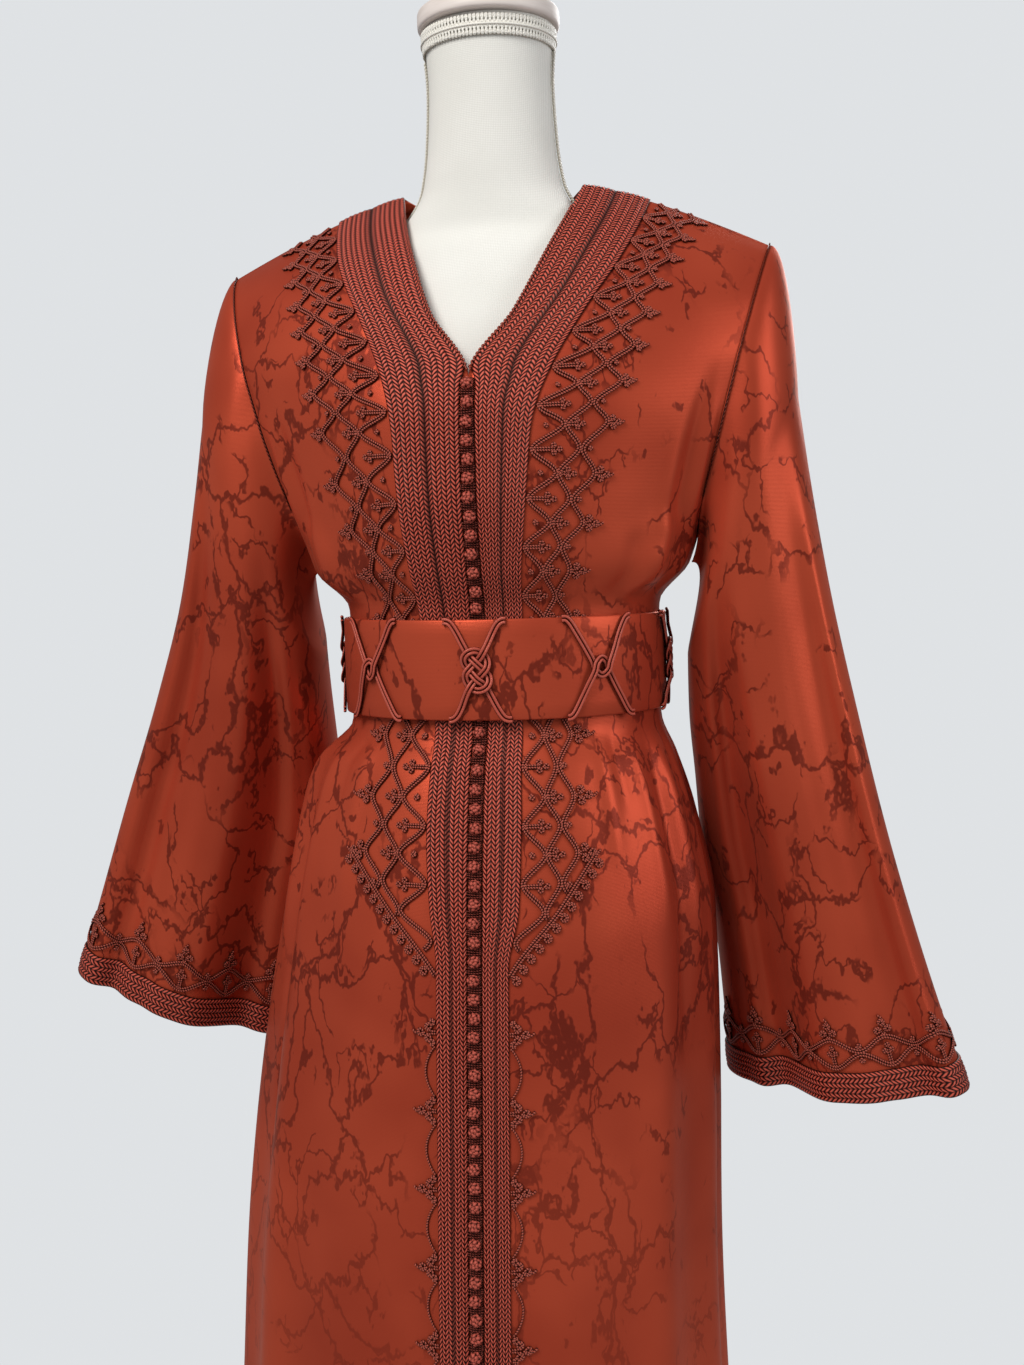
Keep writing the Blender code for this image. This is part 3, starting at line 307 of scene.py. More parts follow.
def back_top(across):
    """The back's top edge: the neck curve and then the shoulder seam."""
    points = np.array(BACK_NECK)
    shares = np.array((0.0, NECK_SHARE * NECK_MIDDLE, NECK_SHARE))
    tip = np.array((body_value("left_x", TOP_LEVEL), 0.0, body_value("out_z", TOP_LEVEL)))
    along = np.clip((across - NECK_SHARE) / (1 - NECK_SHARE), 0.0, 1.0)
    result = []
    for axis in range(3):
        neck = smooth(shares, points[:, axis], np.minimum(across, NECK_SHARE))
        shoulder = points[2, axis] + (tip[axis] - points[2, axis]) * along
        result.append(np.where(across <= NECK_SHARE, neck, shoulder))
    return np.stack(result, axis=-1)


def plain_cloth(face, side, across, level):
    """The body cloth without folds; across runs from 0 at the centre to 1."""
    across, level = np.broadcast_arrays(across, level)
    turn = np.arcsin(np.clip(across, 0.0, 1.0))
    reach = body_value("left_x" if side > 0 else "right_x", level)
    arm = body_value("arm_" + face, level)
    deep = body_value(face + "_y", level)
    power = 2 * body_value("roundness", level)
    start = body_value("neck_x", level) if face == "front" else np.zeros(level.shape)
    x = start + (reach - start) * across
    y = arm + (deep - arm) * np.cos(turn) ** power
    z = level + (body_value("out_z", level) - level) * across ** SIDE_LEAN
    if face == "back":
        top = back_top(across)
        part = ease((level - YOKE_LEVEL) / (TOP_LEVEL - YOKE_LEVEL)) ** YOKE_EASE
        low = np.minimum(level, YOKE_LEVEL)
        lower_reach = np.where(level > YOKE_LEVEL, body_value("left_x", low), reach)
        lower_arm = body_value("arm_back", low)
        lower_y = lower_arm + (body_value("back_y", low) - lower_arm) * np.cos(turn) ** power
        lower_z = low + (body_value("out_z", low) - low) * across ** SIDE_LEAN
        x = lower_reach * across + (top[..., 0] - lower_reach * across) * part
        y = lower_y + (top[..., 1] - lower_y) * part
        z = lower_z + (top[..., 2] - lower_z) * part
    facing = -1.0 if face == "front" else 1.0
    return np.stack((x * side, y * facing, z), axis=-1)


def unit(vectors):
    """The same directions, each one long."""
    return vectors / np.linalg.norm(vectors, axis=-1, keepdims=True)


def facing_out(points_at, side, face, across, level):
    """The outward direction of a surface, from its own slopes."""
    wide = np.clip(across + SLOPE_ACROSS, 0, 1)
    narrow = np.clip(across - SLOPE_ACROSS, 0, 1)
    higher = np.clip(level + SLOPE_LEVEL, HEM_LEVEL, TOP_LEVEL)
    lower = np.clip(level - SLOPE_LEVEL, HEM_LEVEL, TOP_LEVEL)
    along = points_at(wide, level) - points_at(narrow, level)
    upward = points_at(across, higher) - points_at(across, lower)
    return unit(np.cross(along, upward) * side * (1.0 if face == "front" else -1.0))


def cloth(face, side, across, level):
    """The body cloth with its folds, and its outward directions."""
    across, level = np.broadcast_arrays(np.asarray(across, float), np.asarray(level, float))

    def plain(a, b):
        return plain_cloth(face, side, a, b)

    def folded(a, b):
        around = np.degrees(np.arcsin(np.clip(a, 0, 1)))
        degrees = around if face == "front" else 180.0 - around
        push = fold_depth(degrees * side, b)
        return plain(a, b) + facing_out(plain, side, face, a, b) * push[..., None]

    points = folded(across, level)
    out = facing_out(folded, side, face, across, level)
    centre = across <= 0
    if face == "front":
        centre = centre & (level <= V_LEVEL)
    out[..., 0] = np.where(centre, 0.0, out[..., 0])
    at_side = (across >= 1) & (level <= UNDERARM_LEVEL + NEARLY)
    at_shoulder = level >= TOP_LEVEL - NEARLY
    if face == "back":
        at_shoulder = at_shoulder & (across >= NECK_SHARE)
    flat = at_side | at_shoulder
    out[..., 1] = np.where(flat, 0.0, out[..., 1])
    out = unit(out)
    shift = -SEAM_GAP / 2 if face == "front" else SEAM_GAP / 2
    points[..., 1] = np.where(flat, shift, points[..., 1])
    points[..., 0] = np.where(centre, side * SEAM_GAP / 2, points[..., 0])
    return points + WAIST, out


def new_piece(name, points, faces, finish):
    """A smooth-shaded mesh piece riding on the one body."""
    mesh = bpy.data.meshes.new(name)
    mesh.from_pydata(np.asarray(points).tolist(), [], faces)
    mesh.update()
    mesh.shade_smooth()
    mesh.materials.append(finish)
    piece = bpy.data.objects.new(name, mesh)
    bpy.context.scene.collection.objects.link(piece)
    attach(piece, "root")
    return piece


def face_out(piece):
    """Turn the faces of a closed piece outwards."""
    work = bmesh.new()
    work.from_mesh(piece.data)
    bmesh.ops.recalc_face_normals(work, faces=work.faces)
    work.to_mesh(piece.data)
    work.free()


def grid_faces(rows, cols, round_it):
    """Quads of a grid of points, closed round its rows if round_it."""
    first = np.arange(rows - 1)[:, None] * cols
    place = np.arange(cols if round_it else cols - 1)[None, :]
    following = (place + 1) % cols
    a = first + place
    b = first + following
    return np.stack((a, b, b + cols, a + cols), axis=-1).reshape(-1, 4)


def wall(name, outer, inner, round_it, finish):
    """A closed wall between two grids of points."""
    rows, cols = outer.shape[:2]
    back = rows * cols
    sheet = grid_faces(rows, cols, round_it)
    faces = [sheet, sheet[:, ::-1] + back]
    place = np.arange(cols if round_it else cols - 1)
    following = (place + 1) % cols
    last = (rows - 1) * cols
    faces.append(np.stack((following, place, place + back, following + back), axis=-1))
    faces.append(np.stack((last + place, last + following, last + following + back,
                           last + place + back), axis=-1))
    if not round_it:
        start = np.arange(rows - 1) * cols
        faces.append(np.stack((start, start + cols, start + cols + back, start + back), axis=-1))
        end = start + cols - 1
        faces.append(np.stack((end + cols, end, end + back, end + cols + back), axis=-1))
    points = np.concatenate((outer.reshape(-1, 3), inner.reshape(-1, 3)))
    piece = new_piece(name, points, np.concatenate(faces).tolist(), finish)
    face_out(piece)
    return piece


def link(tree, source, target):
    """Join two sockets."""
    tree.links.new(source, target)


def node(tree, kind, **settings):
    """A new shader node with its plain settings."""
    made = tree.nodes.new(kind)
    for key, value in settings.items():
        setattr(made, key, value)
    return made


def math_node(tree, operation, first, second=None, third=None):
    """A Math node; numbers are set and sockets are joined."""
    made = node(tree, "ShaderNodeMath", operation=operation)
    for place, value in enumerate((first, second, third)):
        if value is None:
            continue
        if isinstance(value, (int, float)):
            made.inputs[place].default_value = value
        else:
            link(tree, value, made.inputs[place])
    return made.outputs[0]


def ramp_node(tree, source, low, high):
    """A smooth step of a value from 0 at low to 1 at high."""
    made = node(tree, "ShaderNodeMapRange", interpolation_type="SMOOTHSTEP")
    link(tree, source, made.inputs["Value"])
    made.inputs["From Min"].default_value = low
    made.inputs["From Max"].default_value = high
    return made.outputs["Result"]


def blend_colours(tree, share, first, second):
    """Mix two colours or colour sockets."""
    made = node(tree, "ShaderNodeMix", data_type="RGBA")
    if isinstance(share, (int, float)):
        made.inputs[0].default_value = share
    else:
        link(tree, share, made.inputs[0])
    for place, value in ((6, first), (7, second)):
        if isinstance(value, tuple):
            made.inputs[place].default_value = (*value, 1.0)
        else:
            link(tree, value, made.inputs[place])
    return made.outputs[2]


def cloudy_noise(tree, source, **settings):
    """Soft noise laid over a place, with its sockets set by name."""
    made = node(tree, "ShaderNodeTexNoise")
    for key, value in settings.items():
        made.inputs[key].default_value = value
    link(tree, source, made.inputs["Vector"])
    return made


def gloss_range(tree, source, shader, at_low, at_high):
    """Let a value from 0 to 1 move the shader's roughness between two levels."""
    made = node(tree, "ShaderNodeMapRange")
    link(tree, source, made.inputs["Value"])
    made.inputs["To Min"].default_value = at_low
    made.inputs["To Max"].default_value = at_high
    link(tree, made.outputs["Result"], shader.inputs["Roughness"])


def raise_grain(tree, source, shader, strength, distance):
    """Let a value stand up a little as grain on the surface."""
    made = node(tree, "ShaderNodeBump")
    made.inputs["Strength"].default_value = strength
    made.inputs["Distance"].default_value = distance
    link(tree, source, made.inputs["Height"])
    link(tree, made.outputs[0], shader.inputs["Normal"])


# The satin and its print: broken veins of three sizes, small drops and blots,
# a shade darker than the cloth and fainter towards the hem.
SATIN = (0.43, 0.056, 0.027)
SATIN_DEEP = (0.40, 0.050, 0.024)
SATIN_WARM = (0.54, 0.078, 0.036)
SATIN_SHADE = (0.35, 0.65)
SATIN_ROUGH = 0.36
SATIN_SHINY = 0.31
SATIN_DULL = 0.41
SATIN_SOCKETS = (
    ("Metallic", 0.38),
    ("Sheen Weight", 0.05),
    ("Sheen Roughness", 0.45),
    ("Sheen Tint", (1.0, 0.45, 0.30, 1.0)),
    ("Specular IOR Level", 0.11),
    ("Specular Tint", (1.0, 0.55, 0.42, 1.0)),
)
VEIN = (0.12, 0.014, 0.010)
VEINS = (
    # cells to the metre, width of the line, noise where it stops and is whole
    (7.5, 0.017, 0.40, 0.50),
    (15.0, 0.026, 0.44, 0.52),
    (31.0, 0.040, 0.50, 0.55),
)
VEIN_TALL = 0.62
VEIN_WANDER = 0.085
VEIN_CORE = 0.35
VEIN_PATCH = 0.8
DROPS = 62.0
DROPS_KEPT = (0.72, 0.76)
DROP_EDGE = (0.24, 0.16)
BLOT_EDGE = (0.655, 0.680)
PRINT_LEVELS = (0.52, 0.84)
PRINT_LOW = 0.28
PRINT_RISE = 0.46
WEAVE_PITCH = 0.0009
WAVE_BANDS = 3.2
SLUB_SHARE = 0.6
WEAVE_BUMP = 0.10
WEAVE_DEEP = 0.0004
satin, shader = plain_finish("rust_satin", SATIN, SATIN_ROUGH)
tree = satin.node_tree
for key, value in SATIN_SOCKETS:
    shader.inputs[key].default_value = value
where = node(tree, "ShaderNodeTexCoord").outputs["Object"]
stretched = node(tree, "ShaderNodeMapping")
stretched.inputs["Scale"].default_value = (1.0, 1.0, VEIN_TALL)
link(tree, where, stretched.inputs["Vector"])
wander = cloudy_noise(tree, stretched.outputs[0], Scale=14.0, Detail=5.0, Roughness=0.62)
bend = node(tree, "ShaderNodeVectorMath", operation="MULTIPLY_ADD")
link(tree, wander.outputs["Color"], bend.inputs[0])
bend.inputs[1].default_value = (VEIN_WANDER, VEIN_WANDER, VEIN_WANDER)
link(tree, stretched.outputs[0], bend.inputs[2])
marks = []
for scale, line, low, high in VEINS:
    cells = node(tree, "ShaderNodeTexVoronoi", feature="DISTANCE_TO_EDGE")
    cells.inputs["Scale"].default_value = scale
    link(tree, bend.outputs[0], cells.inputs["Vector"])
    patches = cloudy_noise(tree, where, Scale=scale * VEIN_PATCH, Detail=2.0)
    broken = ramp_node(tree, patches.outputs["Fac"], low, high)
    thin = ramp_node(tree, cells.outputs["Distance"], line, line * VEIN_CORE)
    marks.append(math_node(tree, "MULTIPLY", thin, broken))
drops = node(tree, "ShaderNodeTexVoronoi")
drops.inputs["Scale"].default_value = DROPS
link(tree, bend.outputs[0], drops.inputs["Vector"])
few = ramp_node(tree, drops.outputs["Color"], *DROPS_KEPT)
marks.append(math_node(tree, "MULTIPLY", ramp_node(tree, drops.outputs["Distance"], *DROP_EDGE),
                       few))
stains = cloudy_noise(tree, stretched.outputs[0], Scale=11.0, Detail=7.0, Roughness=0.66,
                      Distortion=0.8)
marks.append(ramp_node(tree, stains.outputs["Fac"], *BLOT_EDGE))
marked = marks[0]
for mark in marks[1:]:
    marked = math_node(tree, "MAXIMUM", marked, mark)
shade = cloudy_noise(tree, where, Scale=5.0, Detail=3.0)
ground = blend_colours(tree, ramp_node(tree, shade.outputs["Fac"], *SATIN_SHADE),
                       SATIN_DEEP, SATIN_WARM)
height_of = node(tree, "ShaderNodeSeparateXYZ")
link(tree, where, height_of.inputs[0])
strength = math_node(tree, "MULTIPLY_ADD", ramp_node(tree, height_of.outputs["Z"], *PRINT_LEVELS),
                     PRINT_RISE, PRINT_LOW)
printed = blend_colours(tree, math_node(tree, "MULTIPLY", marked, strength), ground, VEIN)
link(tree, printed, shader.inputs["Base Color"])
threads = node(tree, "ShaderNodeTexWave", bands_direction="Z")
threads.inputs["Scale"].default_value = 1.0 / WEAVE_PITCH / WAVE_BANDS
threads.inputs["Distortion"].default_value = 0.6
link(tree, where, threads.inputs["Vector"])
slubs = cloudy_noise(tree, where, Scale=260.0, Detail=3.0)
grain = math_node(tree, "MULTIPLY_ADD", slubs.outputs["Fac"], SLUB_SHARE, threads.outputs["Fac"])
raise_grain(tree, grain, shader, WEAVE_BUMP, WEAVE_DEEP)
gloss_range(tree, shade.outputs["Fac"], shader, SATIN_SHINY, SATIN_DULL)

PANEL_COLS = 62
PANEL_STEP = 0.009
FINE_STEP = 0.0048
FINE_FROM = -0.30


def panel_levels():
    """Heights of a panel's rows, closer near the gathers."""
    spans = ((HEM_LEVEL, FINE_FROM, PANEL_STEP), (FINE_FROM, TOP_LEVEL, FINE_STEP))
    rows = [np.arange(low, high, step) for low, high, step in spans]
    return np.concatenate(rows + [np.array((TOP_LEVEL,))])


levels = panel_levels()
for face in ("front", "back"):
    for side, title in SIDES:
        turns = np.sin(np.linspace(0.0, math.pi / 2, PANEL_COLS))
        turns[-1] = 1.0
        points, out = cloth(face, side, *np.meshgrid(turns, levels))
        name = face + "_" + title
        wall(name + "_satin", points, points - out * CLOTH, False, satin)
        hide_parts(name)

# Sleeves: wide set-in sleeves of the same satin, seamed under the arm, with a
# small head at the shoulder and long soft folds down to a bell cuff.
SLEEVE_COLUMNS = ("share", "top_x", "top_z", "under_x", "under_z", "under_y",
                  "half_deep")
LEFT_SLEEVE = (
    (0.00, 0.2000, 0.295, 0.140, 0.070, 0.000, 0.050),
    (0.08, 0.2090, 0.262, 0.141, 0.050, 0.005, 0.055),
    (0.18, 0.2180, 0.200, 0.137, 0.012, 0.017, 0.058),
    (0.30, 0.2280, 0.128, 0.136, -0.040, 0.035, 0.058),
    (0.44, 0.2420, 0.045, 0.139, -0.098, 0.055, 0.056),
    (0.58, 0.2600, -0.040, 0.143, -0.160, 0.066, 0.054),
    (0.72, 0.2810, -0.130, 0.152, -0.222, 0.076, 0.053),
    (0.86, 0.3060, -0.220, 0.157, -0.282, 0.084, 0.052),
    (1.00, 0.3370, -0.318, 0.161, -0.341, 0.090, 0.052),
)
RIGHT_SLEEVE = (
    (0.00, 0.2000, 0.295, 0.140, 0.070, 0.000, 0.050),
    (0.08, 0.2120, 0.262, 0.146, 0.050, 0.005, 0.055),
    (0.18, 0.2260, 0.205, 0.150, 0.015, 0.017, 0.058),
    (0.30, 0.2380, 0.135, 0.152, -0.035, 0.035, 0.058),
    (0.44, 0.2540, 0.055, 0.153, -0.090, 0.055, 0.056),
    (0.58, 0.2790, -0.025, 0.155, -0.150, 0.070, 0.054),
    (0.72, 0.3080, -0.105, 0.167, -0.210, 0.080, 0.053),
    (0.86, 0.3340, -0.180, 0.178, -0.268, 0.086, 0.052),
    (1.00, 0.3570, -0.246, 0.188, -0.324, 0.090, 0.052),
)
SLEEVE_HEAD = 0.20
SLEEVE_PUFF = 0.006
SLEEVE_FOLD_GROW = 2.5
SLEEVE_SEAM_SHARE = 0.6
SLEEVE_LOW_START = 0.50
SLEEVE_LOW_SPAN = 0.35
UNDERARM_START = 0.80
SLEEVE_FOLDS = (
    # degrees round from the top edge (front first), spread, depth, from, to
    (52, 13, -0.0100, 0.10, 1.30),
    (86, 14, 0.0060, 0.20, 1.30),
    (118, 13, -0.0070, 0.15, 1.30),
    (215, 14, 0.0060, 0.20, 1.30),
    (250, 14, -0.0080, 0.15, 1.30),
    (300, 14, 0.0070, 0.20, 1.30),
)
SLEEVE_CREASES = {
    # the wearer's left and right sleeve, in the same columns
    1.0: ((30, 7, 0.0016, 0.10, 0.90), (68, 6, -0.0020, 0.22, 1.20),
          (99, 8, 0.0060, 0.18, 0.84), (117, 8, -0.0075, 0.12, 0.88),
          (133, 7, 0.0040, 0.20, 0.82), (44, 7, -0.0030, 0.30, 0.86),
          (140, 7, -0.0018, 0.10, 0.80), (232, 7, -0.0018, 0.20, 1.10),
          (275, 7, 0.0018, 0.15, 1.20)),
    -1.0: ((38, 7, 0.0018, 0.08, 1.10), (71, 6, -0.0030, 0.26, 1.10),
           (97, 8, 0.0052, 0.14, 0.86), (114, 8, -0.0070, 0.10, 0.84),
           (50, 7, -0.0034, 0.20, 0.88), (134, 7, -0.0022, 0.12, 0.95),
           (236, 7, 0.0016, 0.20, 1.10), (281, 7, -0.0018, 0.15, 1.10)),
}
SLEEVE_ROUND = 104
SLEEVE_ROWS = 84
ARMHOLE_ROWS = 400


def armhole(side, around):
    """The panels' own edge round the armhole, from the shoulder tip."""
    rows = np.linspace(UNDERARM_LEVEL, TOP_LEVEL, ARMHOLE_ROWS)
    heights = body_value("out_z", rows)
    drop = (1 - np.cos(around)) / 2
    level = np.interp(heights[-1] - drop * (heights[-1] - heights[0]), heights, rows)
    front, front_out = cloth("front", side, np.ones(len(level)), level)
    back, back_out = cloth("back", side, np.ones(len(level)), level)
    ahead_half = (around <= math.pi + NEARLY)[:, None]
    points = np.where(ahead_half, front, back) - WAIST
    out = np.where(ahead_half, front_out, back_out)
    along = np.roll(points, -1, axis=0) - np.roll(points, 1, axis=0)
    away = unit(np.cross(out, along) * side)
    below = ease((drop - UNDERARM_START) / (1 - UNDERARM_START))[:, None]
    beside = np.array((side * (CLOTH + SEAM_GAP), 0.0, 0.0))
    points = points + away * SEAM_GAP * (1 - below) + beside * below
    points[0, 1] = 0.0
    points[len(around) // 2, 1] = 0.0
    return points, out


def sleeve_points(side, share, around):
    """The sleeve's outer surface and directions, a row for each share."""
    edge, lean = armhole(side, around)
    table = LEFT_SLEEVE if side > 0 else RIGHT_SLEEVE
    value = {}
    for name in SLEEVE_COLUMNS[1:]:
        value[name] = smooth(column(table, SLEEVE_COLUMNS, "share"),
                             column(table, SLEEVE_COLUMNS, name), share)[:, None]
    down = (1 - np.cos(around))[None, :] / 2
    x = value["top_x"] + (value["under_x"] - value["top_x"]) * down
    z = value["top_z"] + (value["under_z"] - value["top_z"]) * down
    y = value["under_y"] * down - value["half_deep"] * np.sin(around)[None, :]
    push = np.zeros(x.shape)
    for place, spread, depth, start, end in SLEEVE_FOLDS + SLEEVE_CREASES[side]:
        away = (np.degrees(around) - place + 180.0) % 360.0 - 180.0
        grown = ease((share - start) / (end - start) * SLEEVE_FOLD_GROW)
        push += depth * grown[:, None] * np.exp(-(away / spread) ** 2)[None, :]
    y = y + push * np.where(np.sin(around) > 0, -1.0, 1.0)[None, :]
    points = np.stack((x * side, y, z), axis=-1)
    mix = ease(share / SLEEVE_HEAD)[:, None, None]
    puff = np.sin(np.clip(share / SLEEVE_HEAD, 0, 1) * math.pi)[:, None] * SLEEVE_PUFF
    points = edge[None] * (1 - mix) + points * mix
    points[..., 0] += side * puff
    ring = np.roll(points, -1, axis=1) - np.roll(points, 1, axis=1)
    out = np.cross(ring, np.gradient(points, axis=0))
    if np.sum(out * (points - points.mean(axis=1, keepdims=True))) < 0:
        out = -out
    out = unit(out)
    seam_share = (1 - ease(share / (SLEEVE_HEAD * SLEEVE_SEAM_SHARE)))[:, None, None]
    upper_share = 1 - ease((down[0] - SLEEVE_LOW_START) / SLEEVE_LOW_SPAN)[None, :, None]
    out = out + (lean[None] - out) * seam_share * upper_share
    return points + WAIST, unit(out)


for side, title in SIDES:
    around = np.linspace(0.0, 2 * math.pi, SLEEVE_ROUND, endpoint=False)
    points, out = sleeve_points(side, np.linspace(0.0, 1.0, SLEEVE_ROWS), around)
    wall("sleeve_" + title + "_satin", points, points - out * CLOTH, True, satin)
    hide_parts("sleeve_" + title)

# Braid bands: narrow flat plaits of rust cord, sewn side by side beside the placket
# and round the neck, two groups with a sunk groove between in painted shade.
BAND_COLUMNS = ("level", "left_wide", "right_wide")
BAND = (
    (-1.030, 0.0230, 0.0250),
    (-0.200, 0.0230, 0.0270),
    (-0.160, 0.0300, 0.0320),
    (-0.110, 0.0310, 0.0350),
    (-0.040, 0.0290, 0.0330),
    (0.050, 0.0310, 0.0440),
    (0.110, 0.0370, 0.0510),
    (0.160, 0.0420, 0.0540),
    (0.199, 0.0470, 0.0550),
    (0.245, 0.0520, 0.0560),
    (0.290, 0.0530, 0.0560),
    (0.345, 0.0530, 0.0550),
)
REST_GAP = 0.0003
V_SOFT = 0.045
V_STEPS = (-1.0, -0.67, -0.33, 0.0, 0.33, 0.67, 1.0)
V_INNER = 0.25
V_TURN_FROM = 0.12
PLACKET_EDGE = 0.0052
PLACKET_TOP = 0.006
PLACKET_EASE = 0.020
PLAITS = 14
BAND_PARTS = (
    # name, lowest and highest level, plaits side by side; parted under the belt
    ("_lower", HEM_LEVEL, -0.0005, 9),
    ("_upper", 0.0005, TOP_LEVEL, 14),
)
STITCH = 0.0033
BAND_TALL = ((0.00, 0.0021), (0.20, 0.0026), (0.42, 0.0021), (0.50, 0.0011),
             (0.58, 0.0021), (0.80, 0.0026), (1.00, 0.0019))
PLAIT_VALLEY = 0.60
STITCH_VALLEY = 0.84
# Braid colours: the light one is a painted highlight on the strand tops, the mid one the thread
# itself, the gap one painted shade where strands dive under.
BRAID_LIGHT = (0.72, 0.132, 0.086)
BRAID_MID = (0.33, 0.047, 0.030)
BRAID_GAP_SHADE = (0.012, 0.002, 0.002)
BRAID_ROUGH = 0.42
BRAID_SPECULAR = 0.30
BRAID_TINT = (1.0, 0.62, 0.52, 1.0)
BRAID_BUMP = 0.70
BRAID_DEEP = 0.0007
STRAND_SLANT = 1.2
STRAND_ROUND = 0.30
# Heights above which strands take the painted highlight and below which they fall to painted shade.
STRAND_LIT = (0.58, 0.98)
STRAND_SHADE = (0.34, 0.72)
# The lower columns beside the sunk middle groove get extra painted shade.
GROOVE_FROM = (0.22, 0.55)
GROOVE_SHADE = 0.8
# Where a round cord's top lies round its section: the top is painted lighter as a painted
# highlight, the sides darker as painted shade.
TOP_OF_CORD = 0.4167
CORD_TOP_HIGHLIGHT = (0.30, 0.10)
CORD_SIDE_SHADE = 0.20


def braid_finish(name, light, middle, gap_shade, slanted, twist=0.75):
    """Plaited cord of slanting strands: painted shade where they dive under, painted highlight on
    top.
    """
    made, shader = plain_finish(name, middle, BRAID_ROUGH)
    tree = made.node_tree
    shader.inputs["Specular IOR Level"].default_value = BRAID_SPECULAR
    shader.inputs["Specular Tint"].default_value = BRAID_TINT
    place = node(tree, "ShaderNodeAttribute", attribute_name="place")
    parts = node(tree, "ShaderNodeSeparateXYZ")
    link(tree, place.outputs["Vector"], parts.inputs[0])
    plait, stitch = parts.outputs["X"], parts.outputs["Y"]
    beside = math_node(tree, "SUBTRACT", math_node(tree, "FRACT", plait), 0.5)
    if slanted:
        parity = math_node(tree, "MODULO", math_node(tree, "FLOOR", plait), 2.0)
        way = math_node(tree, "MULTIPLY_ADD", parity, -2.0, 1.0)
        shifted = math_node(tree, "MULTIPLY_ADD", math_node(tree, "MULTIPLY", way, beside),
                            STRAND_SLANT, stitch)
    else:
        shifted = math_node(tree, "ADD", plait, stitch)
        # A round cord: its top lighter and its sides darker, as painted highlight and painted
        # shade.
        aside = math_node(tree, "ABSOLUTE", math_node(tree, "SUBTRACT", plait, TOP_OF_CORD))
    wave = math_node(tree, "ABSOLUTE", math_node(
        tree, "SINE", math_node(tree, "MULTIPLY", shifted, math.pi)))
    if slanted:
        # Each plait falls off to painted shade at its edges.
        hump = math_node(tree, "COSINE", math_node(tree, "MULTIPLY", beside, math.pi))
        hump = math_node(tree, "POWER", hump, STRAND_ROUND)
        height = math_node(tree, "MULTIPLY", wave, hump)
    else:
        crown = ramp_node(tree, aside, *CORD_TOP_HIGHLIGHT)
        height = math_node(tree, "MULTIPLY",
                           math_node(tree, "MULTIPLY_ADD", wave, twist, 1.0 - twist),
                           math_node(tree, "MULTIPLY_ADD", crown, 1.0 - CORD_SIDE_SHADE,
                                     CORD_SIDE_SHADE))
    # High places mix to the light colour as a painted highlight, low ones to the gap colour as
    # painted shade.
    lit = ramp_node(tree, height, *STRAND_LIT)
    deep = ramp_node(tree, height, *STRAND_SHADE)
    if slanted:
        # The lower columns beside the middle groove get extra painted shade.
        groove_shade = math_node(tree, "MULTIPLY", ramp_node(tree, parts.outputs["Z"], *GROOVE_FROM),
                         GROOVE_SHADE)
        deep = math_node(tree, "MULTIPLY", deep, math_node(tree, "SUBTRACT", 1.0, groove_shade))
    colour = blend_colours(tree, deep, gap_shade, blend_colours(tree, lit, middle, light))
    link(tree, colour, shader.inputs["Base Color"])
    raise_grain(tree, height, shader, BRAID_BUMP, BRAID_DEEP)
    return made


def set_place(piece, place):
    """Keep where each point lies in the plait, for its finish to read."""
    kept = piece.data.attributes.new("place", "FLOAT_VECTOR", "POINT")
    kept.data.foreach_set("vector", np.ascontiguousarray(place, dtype=np.float32).ravel())


UNDER_COLS = 5


def braid_strip(name, under, out, tall, plaits, stitches, finish):
    """A closed band: a beaded top of plaits over a plain underside."""
    rows, cols = under.shape[:2]
    count = np.linspace(0.0, plaits, cols)
    ridge = np.where(np.arange(cols) % 2 == 1, 1.0, PLAIT_VALLEY)[None, :]
    bead = np.where(np.arange(rows) % 2 == 1, 1.0, STITCH_VALLEY)[:, None]
    lift = tall[None, :] * np.where(ridge == 1.0, bead, PLAIT_VALLEY)
    top = under + out * lift[..., None]
    chosen = np.round(np.linspace(0, cols - 1, UNDER_COLS)).astype(int)
    low = under[:, chosen]
    base = rows * cols
    faces = grid_faces(rows, cols, False).tolist()
    faces += (grid_faces(rows, UNDER_COLS, False)[:, ::-1] + base).tolist()
    for i in range(rows - 1):
        a, b = i * cols, (i + 1) * cols
        c, d = base + i * UNDER_COLS, base + (i + 1) * UNDER_COLS
        faces.append([b, a, c, d])
        faces.append([a + cols - 1, b + cols - 1, d + UNDER_COLS - 1, c + UNDER_COLS - 1])
    for i, turn in ((0, 1), (rows - 1, -1)):
        edge = list(range(i * cols, (i + 1) * cols))
        foot = list(range(base + i * UNDER_COLS, base + (i + 1) * UNDER_COLS))
        ring = edge[::-1] + foot
        faces.append(ring[::turn])
    points = np.concatenate((top.reshape(-1, 3), low.reshape(-1, 3)))
    piece = new_piece(name, points, faces, finish)
    grid = np.zeros((rows, cols, 3))
    grid[..., 0] = count[None, :]
    grid[..., 1] = stitches[:, None]
    # How far each column sits below the tallest, read by the finish for the groove's painted shade.
    grid[..., 2] = (1.0 - tall / tall.max())[None, :]
    set_place(piece, np.concatenate((grid.reshape(-1, 3), grid[:, chosen].reshape(-1, 3))))
    face_out(piece)
    return piece


braid = braid_finish("rust_braid", BRAID_LIGHT, BRAID_MID, BRAID_GAP_SHADE, True)


def even_steps(lengths, step):
    """Even places along a run of a given length, an odd number of them."""
    count = 2 * int(lengths[-1] / (2 * step)) + 1
    return np.linspace(0.0, lengths[-1], count)


def front_start(side, level):
    """Neck or centre edge, and the width from it to the side."""
    start = body_value("neck_x", level)
    return start, body_value("left_x" if side > 0 else "right_x", level) - start


def band_wide(side, level):
    """How wide the braid band is at each level."""
    return smooth(column(BAND, BAND_COLUMNS, "level"),
                  column(BAND, BAND_COLUMNS, "left_wide" if side > 0 else "right_wide"), level)


